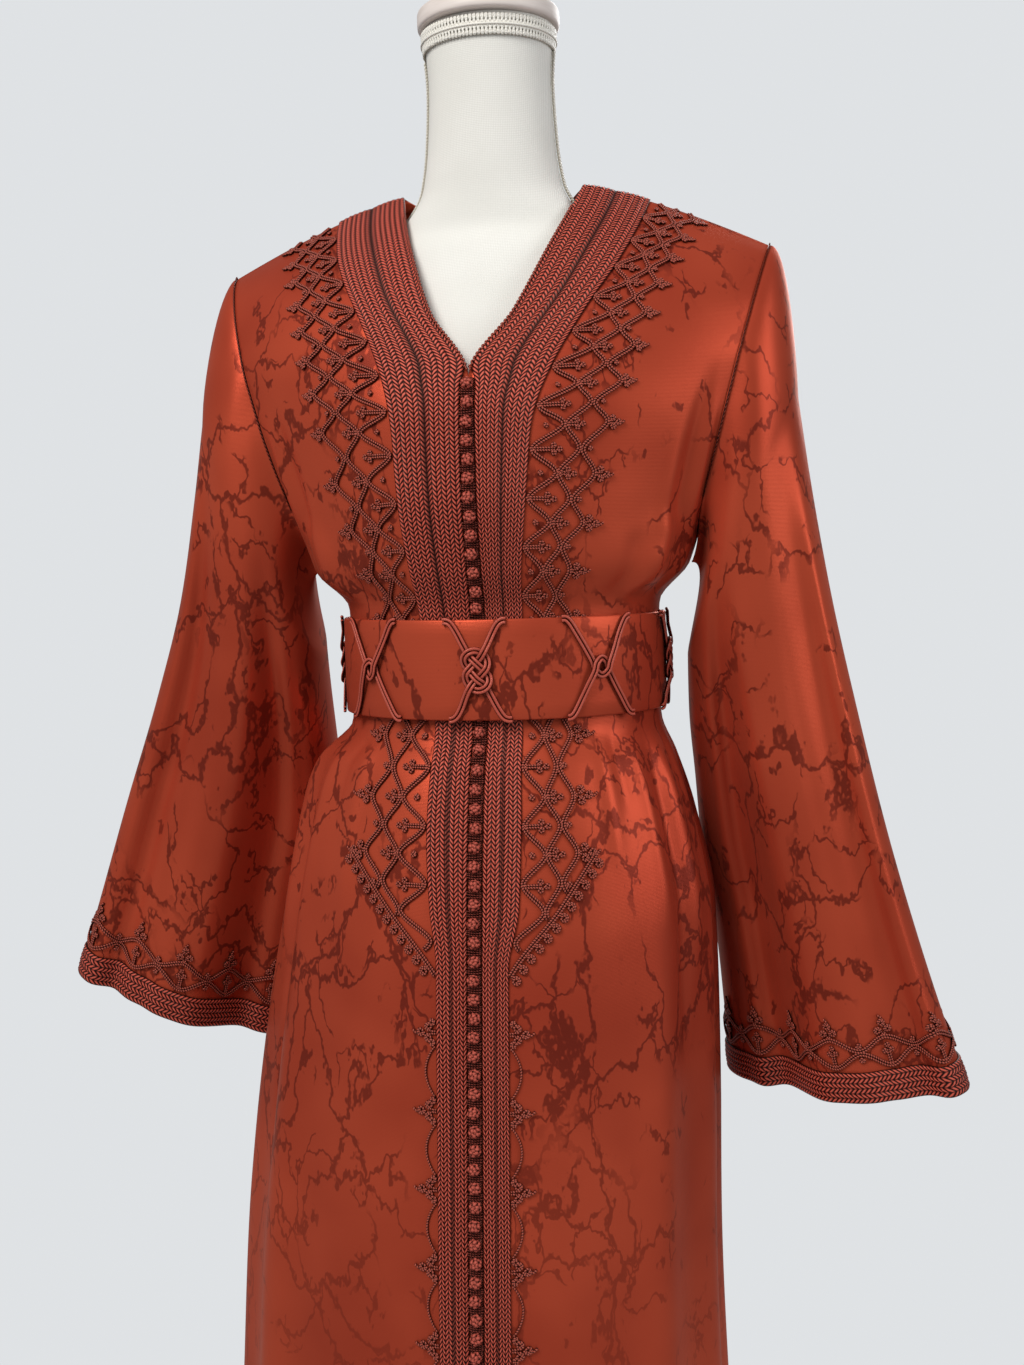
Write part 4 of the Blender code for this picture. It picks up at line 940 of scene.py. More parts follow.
def soft_turn(level, part):
    """How far a plait cuts the corner of the V, more towards the band's outer edge."""
    level, part = np.broadcast_arrays(np.asarray(level, float), np.asarray(part, float))
    total = np.zeros(level.shape)
    for step in V_STEPS:
        total += body_value("neck_x", level + step * V_SOFT * (V_INNER + (1 - V_INNER) * part))
    return total / len(V_STEPS) - body_value("neck_x", level)


def band_edge(side, level):
    """The outer edge of the braid band, from the neck or centre edge."""
    return band_wide(side, level) + soft_turn(level, 1.0)


def on_front(side, aside, level):
    """A place on the front, a distance aside from its inner edge."""
    span = front_start(side, level)[1]
    return cloth("front", side, aside / span, level)


def sampled(at, run, rows):
    """Rows of three numbers, read at other places along the same run."""
    return np.stack([np.interp(at, run, rows[:, axis]) for axis in range(3)], axis=-1)


def run_length(path):
    """Distance along a path, from its start."""
    steps = np.linalg.norm(np.diff(path, axis=0), axis=1)
    return np.concatenate(((0.0,), np.cumsum(steps)))


BAND_SAMPLES = 3000
for side, title in SIDES:
    for part_name, low, high, plaits in BAND_PARTS:
        fine = np.linspace(low, high, BAND_SAMPLES)
        run = run_length(on_front(side, band_wide(side, fine) * 0.5, fine)[0])
        places = even_steps(run, STITCH / 2)
        rows = np.interp(places, run, fine)
        first = PLACKET_EDGE * (1 - ease((rows - V_LEVEL + PLACKET_TOP) / PLACKET_EASE))
        wide = band_wide(side, rows)
        part = np.linspace(0.0, 1.0, 2 * plaits + 1)
        turn = soft_turn(rows[:, None], part[None, :]) * ease(part / V_TURN_FROM)[None, :]
        aside = first[:, None] + (wide - first)[:, None] * part[None, :] + turn
        level = np.repeat(rows[:, None], len(part), axis=1)
        points, out = on_front(side, aside, level)
        tall = np.interp(part, [row[0] for row in BAND_TALL], [row[1] for row in BAND_TALL])
        name = "braid_band_" + title
        band = braid_strip(name + part_name, points + out * REST_GAP, out, tall,
                           plaits, places / STITCH, braid)
        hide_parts(name)

# Neck braid at the back: the same plaits carried across the back of the neck,
# level with the shoulder seams, in one strip.
BACK_BAND_SHARE = 0.62
BACK_BAND_SAMPLES = 800
fine = np.linspace(-BACK_BAND_SHARE, BACK_BAND_SHARE, BACK_BAND_SAMPLES)


def on_back(turn, level):
    """A place on the back; turn runs from -1 at the right to 1 at the left."""
    right_half = cloth("back", -1.0, np.abs(turn), level)
    left_half = cloth("back", 1.0, np.abs(turn), level)
    to_left = (turn >= 0)[..., None]
    return tuple(np.where(to_left, a, b) for a, b in zip(left_half, right_half))


middle = on_back(fine, np.full(len(fine), (YOKE_LEVEL + TOP_LEVEL) / 2))[0]
run = run_length(middle)
places = even_steps(run, STITCH / 2)
turns = np.interp(places, run, fine)
turns[len(turns) // 2] = 0.0
part = np.linspace(0.0, 1.0, 2 * PLAITS + 1)
level = TOP_LEVEL + (YOKE_LEVEL - TOP_LEVEL) * part[None, :] * np.ones((len(turns), 1))
points, out = on_back(np.repeat(turns[:, None], len(part), axis=1), level)
neck_braid = braid_strip("braid_band_neck_back_plaits", points + out * REST_GAP, out, tall[::-1],
                         PLAITS, places / STITCH, braid)
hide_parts("braid_band_neck_back")

# Cuff braid: six narrow plaits sewn round the bell of each sleeve, their ends
# butted at the under seam.
CUFF_WIDE = 0.0235
CUFF_REACH = 0.085
CUFF_PLAITS = 6
CUFF_TALL = (0.0019, 0.0026, 0.0019)
CUFF_END_GAP = 0.004
CUFF_ROWS = 120
CUFF_COLS = 900
CUFF_FROM = 0.76


def cuff_surface(side):
    """The sleeve near its cuff, found by height above the edge and turn round it."""
    around = np.linspace(0.0, 2 * math.pi, CUFF_COLS, endpoint=False)
    points, out = sleeve_points(side, np.linspace(CUFF_FROM, 1.0, CUFF_ROWS), around)
    points, out = points[::-1], out[::-1]
    steps = np.linalg.norm(np.diff(points, axis=0), axis=-1)
    height = np.concatenate((np.zeros((1, CUFF_COLS)), np.cumsum(steps, axis=0)))
    even = np.linspace(0.0, CUFF_REACH, CUFF_ROWS)
    sheet = np.zeros((CUFF_ROWS, CUFF_COLS, 6))
    for j in range(CUFF_COLS):
        for axis in range(3):
            sheet[:, j, axis] = np.interp(even, height[:, j], points[:, j, axis])
            sheet[:, j, axis + 3] = np.interp(even, height[:, j], out[:, j, axis])

    def at(tall, turn):
        row = np.clip(tall / CUFF_REACH, 0, 1) * (CUFF_ROWS - 1)
        col = (turn / (2 * math.pi) % 1.0) * CUFF_COLS
        i = np.minimum(row.astype(int), CUFF_ROWS - 2)
        j = col.astype(int) % CUFF_COLS
        k = (j + 1) % CUFF_COLS
        up, on = (row - i)[..., None], (col - col.astype(int))[..., None]
        found = ((sheet[i, j] * (1 - up) + sheet[i + 1, j] * up) * (1 - on)
                 + (sheet[i, k] * (1 - up) + sheet[i + 1, k] * up) * on)
        return found[..., :3], unit(found[..., 3:])

    return at


cuffs = {}
for side, title in SIDES:
    cuffs[title] = cuff_surface(side)
    fine = np.linspace(math.pi + CUFF_END_GAP, 3 * math.pi - CUFF_END_GAP, CUFF_COLS)
    run = run_length(cuffs[title](np.full(CUFF_COLS, CUFF_WIDE / 2), fine)[0])
    places = even_steps(run, STITCH / 2)
    turns = np.interp(places, run, fine)[:, None]
    tall_at = np.linspace(CUFF_WIDE, 0.0, 2 * CUFF_PLAITS + 1)[None, :]
    points, out = cuffs[title](*np.broadcast_arrays(tall_at, turns))
    tall = np.interp(np.linspace(0, 1, 2 * CUFF_PLAITS + 1), (0.0, 0.5, 1.0), CUFF_TALL)
    name = "cuff_braid_" + title
    cuff_braid = braid_strip(name + "_plaits", points + out * REST_GAP, out, tall,
                             CUFF_PLAITS, places / STITCH, braid)
    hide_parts(name)

# Laid cords: twisted rust cord couched down in pairs, waving beside the neck
# and placket as a lattice, with a curled trefoil in each cell and at each tip.
CORD_SIDES = 6
CORD_FIRST_SIDE = -60.0
CORD_RADIUS = 0.00092
CORD_CLEAR = 0.0006
PAIR_APART = 0.00100
STEM_THIN = 0.9
STEM_APART = 0.85
CORD_TWIST = 0.0019
CORD_STEP = 0.0026
REACH_COLUMNS = ("level", "left_reach", "right_reach")
REACH = (
    (-0.205, 0.0300, 0.0340),
    (-0.125, 0.0840, 0.0980),
    (-0.050, 0.0780, 0.0900),
    (0.050, 0.0760, 0.0880),
    (0.100, 0.0880, 0.1040),
    (0.150, 0.1000, 0.1180),
    (0.200, 0.1160, 0.1290),
    (0.250, 0.1300, 0.1400),
    (0.300, 0.1450, 0.1520),
    (0.345, 0.1600, 0.1640),
)
UPPER_TIPS = (0.001, 0.034, 0.067, 0.101, 0.134, 0.163, 0.189, 0.215, 0.241, 0.266, 0.291,
              0.314, 0.337)
LOWER_TIPS = (-0.006, -0.047, -0.087, -0.125)
FULL_PITCH = 0.041
TIP_LONG = 0.0175
WAVES = (
    # inner and outer share of the way to the tips' roots, phase at a tip
    (0.03, 0.43, 1.0),
    (0.46, 0.70, -1.0),
    (0.75, 1.00, 1.0),
)
# Cord and button colours: the light one is a painted highlight on each cord's top and twist, the
# gap colour painted shade at its sides and between twists.
CORD_LIGHT = (0.46, 0.100, 0.066)
CORD_MID = (0.24, 0.042, 0.028)
cord_finish = braid_finish("laid_cord", CORD_LIGHT, CORD_MID, BRAID_GAP_SHADE, False)
BUTTON_LIGHT = (0.54, 0.108, 0.074)
BUTTON_MID = (0.24, 0.040, 0.027)
BUTTON_TWIST = 0.48
button_finish = braid_finish("button_cord", BUTTON_LIGHT, BUTTON_MID, BRAID_GAP_SHADE, False,
                             BUTTON_TWIST)


def laid_cords(name, runs, finish):
    """Round cords in one mesh: each run is (points, outs, radius)."""
    turns = np.radians(CORD_FIRST_SIDE + 360.0 / CORD_SIDES * np.arange(CORD_SIDES))
    points, places, faces = [], [], []
    base = 0
    for path, out, radius in runs:
        along = np.gradient(path, axis=0)
        along /= np.maximum(np.linalg.norm(along, axis=1, keepdims=True), 1e-9)
        aside = unit(np.cross(along, out))
        rise = np.cross(aside, along)
        centre = path + out * (radius + REST_GAP)
        ring = (aside[:, None] * np.cos(turns)[None, :, None]
                + rise[:, None] * np.sin(turns)[None, :, None])
        points.append((centre[:, None] + ring * radius).reshape(-1, 3))
        mark = np.zeros((len(path), CORD_SIDES, 3))
        # Place round each cord, read by its finish to paint the top lighter and the sides darker:
        # painted highlight and painted shade.
        mark[..., 0] = np.arange(CORD_SIDES)[None, :] / CORD_SIDES
        mark[..., 1] = run_length(path)[:, None] / CORD_TWIST
        places.append(mark.reshape(-1, 3))
        faces += (grid_faces(len(path), CORD_SIDES, True)[:, ::-1] + base).tolist()
        faces.append(list(range(base, base + CORD_SIDES)))
        last = base + (len(path) - 1) * CORD_SIDES
        faces.append(list(range(last + CORD_SIDES - 1, last - 1, -1)))
        base += len(path) * CORD_SIDES
    piece = new_piece(name, np.concatenate(points), faces, finish)
    set_place(piece, np.concatenate(places))
    face_out(piece)
    return piece


def pair_of(path, out, radius=CORD_RADIUS, apart=PAIR_APART):
    """Two cords side by side along one path."""
    aside = unit(np.cross(np.gradient(path, axis=0), out))
    return [(path + aside * apart, out, radius), (path - aside * apart, out, radius)]


def even_path(path, out, step=CORD_STEP):
    """The same path with evenly spaced points."""
    run = run_length(path)
    count = max(int(run[-1] / step), 3)
    at = np.linspace(0.0, run[-1], count + 1)
    return sampled(at, run, path), unit(sampled(at, run, out))


def curl(centre, start, turns, large, small, count):
    """A flat spiral from its outside in; start is in degrees."""
    turn = np.radians(start) + np.linspace(0.0, turns * 2 * math.pi, count)
    radius = np.linspace(large, small, count)
    return np.stack((centre[0] + radius * np.cos(turn), centre[1] + radius * np.sin(turn)),
                    axis=-1)


# The leaves are flat shapes in a curl's own radius, laid on the cloth later.
CELL_CURL = 0.0021
CELL_CURL_END = 0.45
CELL_STEM = 0.5
CELL_CURLS = (
    # along, aside, start in degrees, turns
    (0.4, 1.35, -90.0, 1.25),
    (0.4, -1.35, 90.0, -1.25),
    (2.7, 0.0, 180.0, 1.25),
)
TIP_CURL = 0.0031
TIP_CURL_END = 0.32
TIP_STEM = 1.2
TIP_CURLS = (
    # along, aside, start in degrees, turns
    (1.7, 1.35, -120.0, 1.7),
    (1.7, -1.35, 120.0, -1.7),
    (3.65, 0.0, 180.0, 1.7),
)
TIP_HOOK = ((4.3, -0.5), (4.9, -0.35), (5.4, 0.05), (5.65, 0.35))
SNAIL_CURL = 0.0022
SNAIL_START = 90.0
SNAIL_TURNS = 1.5
SNAIL_END = 0.35


def cell_leaf(stem, size):
    """A stem of two cords with three small curls; runs of (shape, paired)."""
    r = CELL_CURL * size
    runs = [(np.linspace((0.0, 0.0), (stem + CELL_STEM * r, 0.0), 5), True)]
    for along, aside, start, turns in CELL_CURLS:
        runs.append((curl((stem + along * r, aside * r), start, turns, r, CELL_CURL_END * r, 11),
                     False))
    return runs


def tip_leaf(size):
    """The pointed trefoil at a tip: three full curls and a hooked end."""
    r = TIP_CURL * size
    runs = [(np.linspace((0.0, 0.0), (TIP_STEM * r, 0.0), 3), True)]
    for along, aside, start, turns in TIP_CURLS:
        runs.append((curl((along * r, aside * r), start, turns, r, TIP_CURL_END * r, 17), False))
    runs.append((np.array(TIP_HOOK) * r, False))
    return runs


def snail(size, way):
    """One small curl on its own."""
    r = SNAIL_CURL * size
    return [(curl((0.0, 0.0), SNAIL_START * way, SNAIL_TURNS * way, r, SNAIL_END * r, 13),
             False)]


SURFACE_STEP = 0.0008


def lay_shapes(surface, spots):
    """Lay flat shapes on a surface: spots are (a, b, shape runs)."""
    step = SURFACE_STEP
    a0 = np.array([spot[0] for spot in spots])
    b0 = np.array([spot[1] for spot in spots])
    lean = surface(a0, b0)[1]
    by_a = (surface(a0 + step, b0)[0] - surface(a0 - step, b0)[0]) / (2 * step)
    by_b = (surface(a0, b0 + step)[0] - surface(a0, b0 - step)[0]) / (2 * step)
    far = np.linalg.norm(by_a, axis=1)
    outward = by_a / far[:, None]
    upward = np.cross(lean, outward)
    upward *= np.sign(np.sum(upward * by_b, axis=1))[:, None]
    skew = np.sum(by_b * outward, axis=1)
    rise = np.sum(by_b * upward, axis=1)
    a_all, b_all, kinds = [], [], []
    for i, (a, b, runs) in enumerate(spots):
        for shape, paired in runs:
            step_b = shape[:, 1] / rise[i]
            a_all.append(a + (shape[:, 0] - step_b * skew[i]) / far[i])
            b_all.append(b + step_b)
            kinds.append(paired)
    points, outs = surface(np.concatenate(a_all), np.concatenate(b_all))
    result = []
    start = 0
    for piece_a, paired in zip(a_all, kinds):
        path = points[start:start + len(piece_a)]
        out = outs[start:start + len(piece_a)]
        start += len(piece_a)
        if paired:
            result += pair_of(path, out, CORD_RADIUS * STEM_THIN, PAIR_APART * STEM_APART)
        else:
            result.append((path, out, CORD_RADIUS))
    return result


SHARP_SHARE = 0.4
SHARPNESS = 0.97


def zigzag(phase):
    """A rounded zigzag from 1 at whole phases to -1 at half ones."""
    wave = np.cos(2 * math.pi * phase)
    sharp = SHARP_SHARE * np.arcsin(SHARPNESS * wave) / math.asin(SHARPNESS)
    return sharp + (1 - SHARP_SHARE) * wave


BORDER_FOOT = -0.205
BORDER_PITCH = 0.0088
BORDER_INSET = 0.006
SMALLEST_TIP = 0.62
FEWEST_SAMPLES = 5
WAVE_SAMPLES = 600
TOP_CLEAR = 0.004
WHOLE_STEM = 0.13
HALF_STEM = 0.30
INNER_SNAIL = 0.19
OUTER_SNAIL = 0.86


def lattice(side, tips, first_level, last_level):
    """The waves, cell leaves and tip leaves between two levels."""
    tips = np.array(tips)
    order = np.argsort(tips)
    title = "left" if side > 0 else "right"

    def surface(a, b):
        return on_front(side, a, b)

    def edge(level):
        return band_edge(side, level) + CORD_CLEAR

    steps = np.arange(len(tips), dtype=float)
    more = tips[-1] + (tips[-1] - tips[-2]) * np.arange(1, 4)
    knots = np.concatenate((tips, more))
    counts = np.concatenate((steps, steps[-1] + np.arange(1, 4)))
    rising = np.argsort(knots)

    def phase_at(level):
        return np.interp(level, knots[rising], counts[rising])

    def pitch_at(level):
        between = (tips[order][1:] + tips[order][:-1]) / 2
        return np.interp(level, between, np.diff(tips[order]))

    def root(level):
        reach = smooth(column(REACH, REACH_COLUMNS, "level"),
                       column(REACH, REACH_COLUMNS, title + "_reach"),
                       np.maximum(level, LOWER_TIPS[-1]))
        size = np.clip(pitch_at(level) / FULL_PITCH, SMALLEST_TIP, 1.0)
        return reach - body_value("neck_x", level) - edge(level) - TIP_LONG * size, size

    def limit(level):
        share = (level - BORDER_FOOT) / (LOWER_TIPS[-1] - BORDER_FOOT)
        tip = root(np.array(LOWER_TIPS[-1]))[0] + TIP_LONG
        return np.where(level < LOWER_TIPS[-1], share * tip - BORDER_INSET, 1.0)

    runs = []
    for inner, outer, way in WAVES:
        level = np.linspace(first_level, last_level, WAVE_SAMPLES)
        far = root(level)[0]
        middle, half = (inner + outer) / 2, (outer - inner) / 2
        aside = far * (middle + half * way * zigzag(phase_at(level)))
        inside = aside <= limit(level)
        if not inside.all():
            stop = np.flatnonzero(~inside)
            keep = level > level[stop].max() if first_level > last_level else inside
            level, aside = level[keep], aside[keep]
        if len(level) < FEWEST_SAMPLES:
            continue
        path, out = surface(edge(level) + aside, level)
        path, out = even_path(path, out)
        runs += pair_of(path, out)
    spots = []
    low, high = min(first_level, last_level), max(first_level, last_level)
    whole = [tip for tip in tips if low < tip < high]
    halves = [(a + b) / 2 for a, b in zip(tips[:-1], tips[1:]) if low < (a + b) / 2 < high]
    if first_level > last_level:
        halves.append(LOWER_TIPS[-1] - FULL_PITCH * 0.5)
    for level in whole:
        far, size = root(np.array(level))
        start = float(edge(np.array(level)))
        spots.append((start + far * WAVES[1][0], level,
                      cell_leaf(float(far) * WHOLE_STEM, float(size) ** 0.5)))
        if level < high - TOP_CLEAR or first_level > last_level:
            spots.append((start + float(far), level, tip_leaf(float(size))))
        spots.append((start + far * INNER_SNAIL, level, snail(float(size), 1.0)))
    for level in halves:
        far, size = root(np.array(level))
        start = float(edge(np.array(level)))
        spots.append((start + far * WAVES[0][0], level,
                      cell_leaf(float(far) * HALF_STEM, float(size) ** 0.5)))
        if float(far) * OUTER_SNAIL < float(limit(np.array(level))):
            spots.append((start + far * OUTER_SNAIL, level, snail(float(size), -1.0)))
    runs += lay_shapes(surface, spots)
    return runs, surface, edge, root


UPPER_FROM = 0.020
UPPER_TO = TOP_LEVEL - 0.0015
LOWER_FROM = -0.026
BORDER_WIDE = 0.72
BORDER_SAMPLES = 200
BORDER_FIRST = 0.8
BORDER_CURL_OUT = 0.0042
BORDER_CURL_DROP = 0.0030
BORDER_CURL = (150.0, -1.8, 0.0034, 0.0009, 17)
for side, title in SIDES:
    runs = lattice(side, UPPER_TIPS, UPPER_FROM, UPPER_TO)[0]
    upper = laid_cords("scrollwork_upper_" + title, runs, cord_finish)
    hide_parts("scroll_cord_upper_" + title)

    runs, surface, edge, root = lattice(side, LOWER_TIPS, LOWER_FROM, BORDER_FOOT)
    level = np.linspace(LOWER_TIPS[-1], BORDER_FOOT, BORDER_SAMPLES)
    full = float(root(np.array(LOWER_TIPS[-1]))[0]) + TIP_LONG * BORDER_WIDE
    aside = edge(level) + full * (level - BORDER_FOOT) / (LOWER_TIPS[-1] - BORDER_FOOT)
    path, out = surface(aside, level)
    path, out = even_path(path, out)
    runs += pair_of(path, out)
    run = run_length(surface(aside, level)[0])
    along = np.interp(np.arange(BORDER_PITCH * BORDER_FIRST, run[-1], BORDER_PITCH), run, level)
    spots = []
    for spot in along:
        start = float(np.interp(spot, level[::-1], aside[::-1]))
        spots.append((start + BORDER_CURL_OUT, spot - BORDER_CURL_DROP,
                      [(curl((0.0, 0.0), *BORDER_CURL), False)]))
    runs += lay_shapes(surface, spots)
    lower = laid_cords("scrollwork_lower_" + title, runs, cord_finish)
    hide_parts("scroll_cord_lower_" + title)

# Leaf edging: below the lattice a pointed leaf of curled cord stands at each
# side of the placket every two inches, joined to the next by a shallow bow.
LEAF_FIRST = -0.243
LEAF_PITCH = 0.0525
LEAF_LONG = 0.0165
LEAF_FOOT = 0.02
SIDE_CURL_AT = 0.0066
SIDE_CURL_START = 60.0
SIDE_CURL_TURNS = 1.5
SIDE_CURL_OUT = 0.0026
SIDE_CURL = (0.0024, 0.0009, 13)
BOW_OUT = 0.0068
BOW_END = 0.0095
BOW_FULL = 0.8
BOW_THIN = 0.85
BOW_STEPS = 26
for side, title in SIDES:
    def skirt_front(a, b):
        return on_front(side, band_wide(side, b) + CORD_CLEAR + a, b)

    spots = []
    runs = []
    levels_at = np.arange(LEAF_FIRST, HEM_LEVEL + LEAF_FOOT, -LEAF_PITCH)
    for level in levels_at:
        spots.append((0.0, level, tip_leaf(LEAF_LONG / TIP_LONG)))
        for way in (1.0, -1.0):
            spots.append((0.0, level + SIDE_CURL_AT * way,
                          [(curl((SIDE_CURL_OUT, 0.0), SIDE_CURL_START * way,
                                 SIDE_CURL_TURNS * way, *SIDE_CURL), False)]))
    for upper_end, lower_end in zip(levels_at[:-1], levels_at[1:]):
        way = np.linspace(0.0, 1.0, BOW_STEPS)
        level = (upper_end - BOW_END) + (lower_end + BOW_END - upper_end + BOW_END) * way
        path, out = skirt_front(BOW_OUT * np.sin(way * math.pi) ** BOW_FULL + CORD_CLEAR, level)
        runs.append((path, out, CORD_RADIUS * BOW_THIN))
    runs += lay_shapes(skirt_front, spots)
    edging = laid_cords("leaf_edging_" + title, runs, cord_finish)

# Cuff cords: two paired cords wave above the cuff braid, one over the other,
# with a leaf in each cell and a pointed trefoil at each upper crest.
CUFF_LEAVES = 12
CUFF_LOW = (0.0035, 0.0145)
CUFF_HIGH = (0.0165, 0.0255)
CUFF_SAMPLES = 1600
CUFF_CORD_GAP = 0.01
CUFF_MEASURED = CUFF_WIDE + 0.02
CUFF_TIP = 0.92
CUFF_STEM = 0.0105
CUFF_LEAF = 0.85
CUFF_SNAIL = 0.9
CUFF_SNAIL_HIGH = CUFF_HIGH[0] + 0.0042
CUFF_SNAIL_LOW = CUFF_LOW[1] - 0.0046
for side, title in SIDES:
    surface = cuffs[title]
    fine = np.linspace(math.pi + CUFF_CORD_GAP, 3 * math.pi - CUFF_CORD_GAP, CUFF_SAMPLES)
    run = run_length(surface(np.full(CUFF_SAMPLES, CUFF_MEASURED), fine)[0])
    even = run / run[-1]
    runs, spots = [], []
    for (low, high), way in ((CUFF_LOW, -1.0), (CUFF_HIGH, 1.0)):
        wave = zigzag(even * CUFF_LEAVES + 0.5)
        height = CUFF_WIDE + (low + high) / 2 + (high - low) / 2 * way * wave
        path, out = surface(height, fine)
        path, out = even_path(path, out)
        runs += pair_of(path, out)
    for i in range(CUFF_LEAVES):
        crest = float(np.interp((i + 0.5) / CUFF_LEAVES, even, fine))
        between = float(np.interp((i + 1.0) / CUFF_LEAVES, even, fine))
        spots.append((CUFF_WIDE + CUFF_HIGH[1], crest, tip_leaf(CUFF_TIP)))
        spots.append((CUFF_WIDE + CUFF_LOW[0], crest, cell_leaf(CUFF_STEM, CUFF_LEAF)))
        if i < CUFF_LEAVES - 1:
            spots.append((CUFF_WIDE + CUFF_SNAIL_HIGH, between, snail(CUFF_SNAIL, 1.0)))
            spots.append((CUFF_WIDE + CUFF_SNAIL_LOW, between, snail(CUFF_SNAIL, -1.0)))
    runs += lay_shapes(surface, spots)
    edging = laid_cords("cuff_scrollwork_" + title, runs, cord_finish)

# Armhole plaits: a narrow dark plait of two strands, couched over each sleeve
# seam from the front of the underarm over the shoulder to the back.
SEAM_SPREAD = (0.0024, 0.0080)
SEAM_BEYOND = 0.02
SEAM_END = math.radians(126.0)
SEAM_TALL = (0.0008, 0.0017, 0.0013, 0.0017, 0.0008)
SEAM_COLS = len(SEAM_TALL)
SEAM_SAMPLES = 900
# The light colour is a painted highlight on the strand tops, the dark one painted shade where they
# dive under.
SEAM_LIGHT = (0.34, 0.060, 0.040)
SEAM_MID = (0.13, 0.022, 0.015)
SEAM_GAP_SHADE = (0.012, 0.003, 0.002)
seam_finish = braid_finish("seam_cord", SEAM_LIGHT, SEAM_MID, SEAM_GAP_SHADE, True)
for side, title in SIDES:
    around = np.linspace(0.0, 2 * math.pi, SEAM_SAMPLES, endpoint=False)
    share = np.concatenate(((0.0,), np.linspace(*SEAM_SPREAD, SEAM_COLS), (SEAM_BEYOND,)))
    points, out = sleeve_points(side, share, around)
    points, out = points[1:-1], out[1:-1]
    turned = (around + math.pi) % (2 * math.pi) - math.pi
    order = np.argsort(turned)
    order = order[np.abs(turned[order]) <= SEAM_END]
    points, out = points[:, order], out[:, order]
    run = run_length(points[SEAM_COLS // 2])
    places = even_steps(run, STITCH / 2)
    under = np.stack([sampled(places, run, row) for row in points], axis=1)
    lean = unit(np.stack([sampled(places, run, row) for row in out], axis=1))
    seam_cord = braid_strip("armhole_plait_" + title, under + lean * REST_GAP, lean,
                            np.array(SEAM_TALL), 2, places / STITCH, seam_finish)
    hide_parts("armhole_cord_" + title)

# Closing: a dark laced strip down the centre front with a knotted cord button
# every half inch, each button wound from one cord over a small dark core.
BUTTON_PITCH = 0.0125
BUTTON_TOP = V_LEVEL - 0.003
BUTTON_FOOT = HEM_LEVEL + 0.004
STRIP_HALF = 0.0046
STRIP_TALL = 0.0007
STRIP_RAISE = 0.0007
STRIP_TOP = BUTTON_TOP + 0.002
FIRST_BUTTON = BUTTON_TOP - 0.003
STRIP_STEP = 0.005
STRIP_CROWN = (0.3, 1.0, 1.15, 1.0, 0.3)
STRIP_LACE = 0.0016
BUTTON_RADIUS = 0.0034
BUTTON_CORD = 0.00112
BUTTON_SIDES = 5
BUTTON_STEPS = 66
BUTTON_SWELL = 0.00042
BUTTON_FLAT = 0.72
BUTTON_LEAN = math.radians(73)
BUTTON_RAISE = 0.0012
BUTTON_DRIFT = 0.0005
BUTTON_SHADE = np.array((0.0, 0.2, 0.4, 0.4, 0.2)) * 0.7
BUTTON_STRAND = 0.55
WINDS = 3
BIGHTS = 5
# Each button is sewn on at a turn of its own, a little off the line.
SPIN_EACH = 2.4
DRIFT_EACH = 1.9
STRAND_EACH = 0.37
CORE_GRAIN = 900.0


def placket_spot(level):
    """The centre front at a level and its outward direction."""
    points, out = cloth("front", 1.0, np.zeros(len(level)), level)
    points[:, 0] = WAIST[0]
    out[:, 0] = 0.0
    return points, unit(out)


level = np.arange(STRIP_TOP, BUTTON_FOOT, -STRIP_STEP)
spot, lean = placket_spot(level)
beside = np.array((1.0, 0.0, 0.0))
across = np.linspace(-STRIP_HALF, STRIP_HALF, len(STRIP_CROWN))
low_face = spot[:, None] + beside * across[None, :, None] + lean[:, None] * STRIP_RAISE
crown = np.array(STRIP_CROWN) * STRIP_TALL
strip = wall("button_strip", low_face + lean[:, None] * crown[None, :, None], low_face, False,
             seam_finish)
laced = [[aside / STRIP_HALF * 2, height / STRIP_LACE, 0.0] for height in level for aside in across]
set_place(strip, np.array(laced + laced))
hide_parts("button_row")

turn = np.linspace(0.0, 2 * math.pi, BUTTON_STEPS, endpoint=False)
tilt = BUTTON_LEAN * np.sin(BIGHTS * turn)
far = BUTTON_RADIUS + BUTTON_SWELL * np.sin(2 * BIGHTS * turn)
wound = np.stack((far * np.cos(tilt) * np.cos(WINDS * turn),
                  far * np.cos(tilt) * np.sin(WINDS * turn),
                  far * np.sin(tilt)), axis=-1)
along = unit(np.roll(wound, -1, axis=0) - np.roll(wound, 1, axis=0))
sideways = unit(np.cross(along, unit(wound)))
rise = np.cross(sideways, along)
corner = np.radians(90.0 + 360.0 / BUTTON_SIDES * np.arange(BUTTON_SIDES))
ball = (wound[:, None] + BUTTON_CORD * (sideways[:, None] * np.cos(corner)[None, :, None]
                                        + rise[:, None] * np.sin(corner)[None, :, None]))
ball_place = np.zeros((BUTTON_STEPS, BUTTON_SIDES, 3))
# Strands off the wound cord's top get painted shade from the cord finish, by BUTTON_SHADE.
ball_place[..., 0] = TOP_OF_CORD + BUTTON_SHADE[None, :]
ball_place[..., 1] = (np.arange(BUTTON_STEPS) * BUTTON_STRAND)[:, None]
rows = np.arange(BUTTON_STEPS)[:, None] * BUTTON_SIDES
cols = np.arange(BUTTON_SIDES)[None, :]
next_rows = (np.arange(BUTTON_STEPS)[:, None] + 1) % BUTTON_STEPS * BUTTON_SIDES
next_cols = (cols + 1) % BUTTON_SIDES
ball_faces = np.stack((rows + cols, rows + next_cols, next_rows + next_cols, next_rows + cols),
                      axis=-1).reshape(-1, 4)
work = bmesh.new()
bmesh.ops.create_icosphere(work, subdivisions=2, radius=BUTTON_RADIUS)
core = np.array([tuple(v.co) for v in work.verts])
core_faces = np.array([[v.index for v in face.verts] for face in work.faces])
work.free()
levels_at = np.arange(FIRST_BUTTON, BUTTON_FOOT, -BUTTON_PITCH)
spot, lean = placket_spot(levels_at)
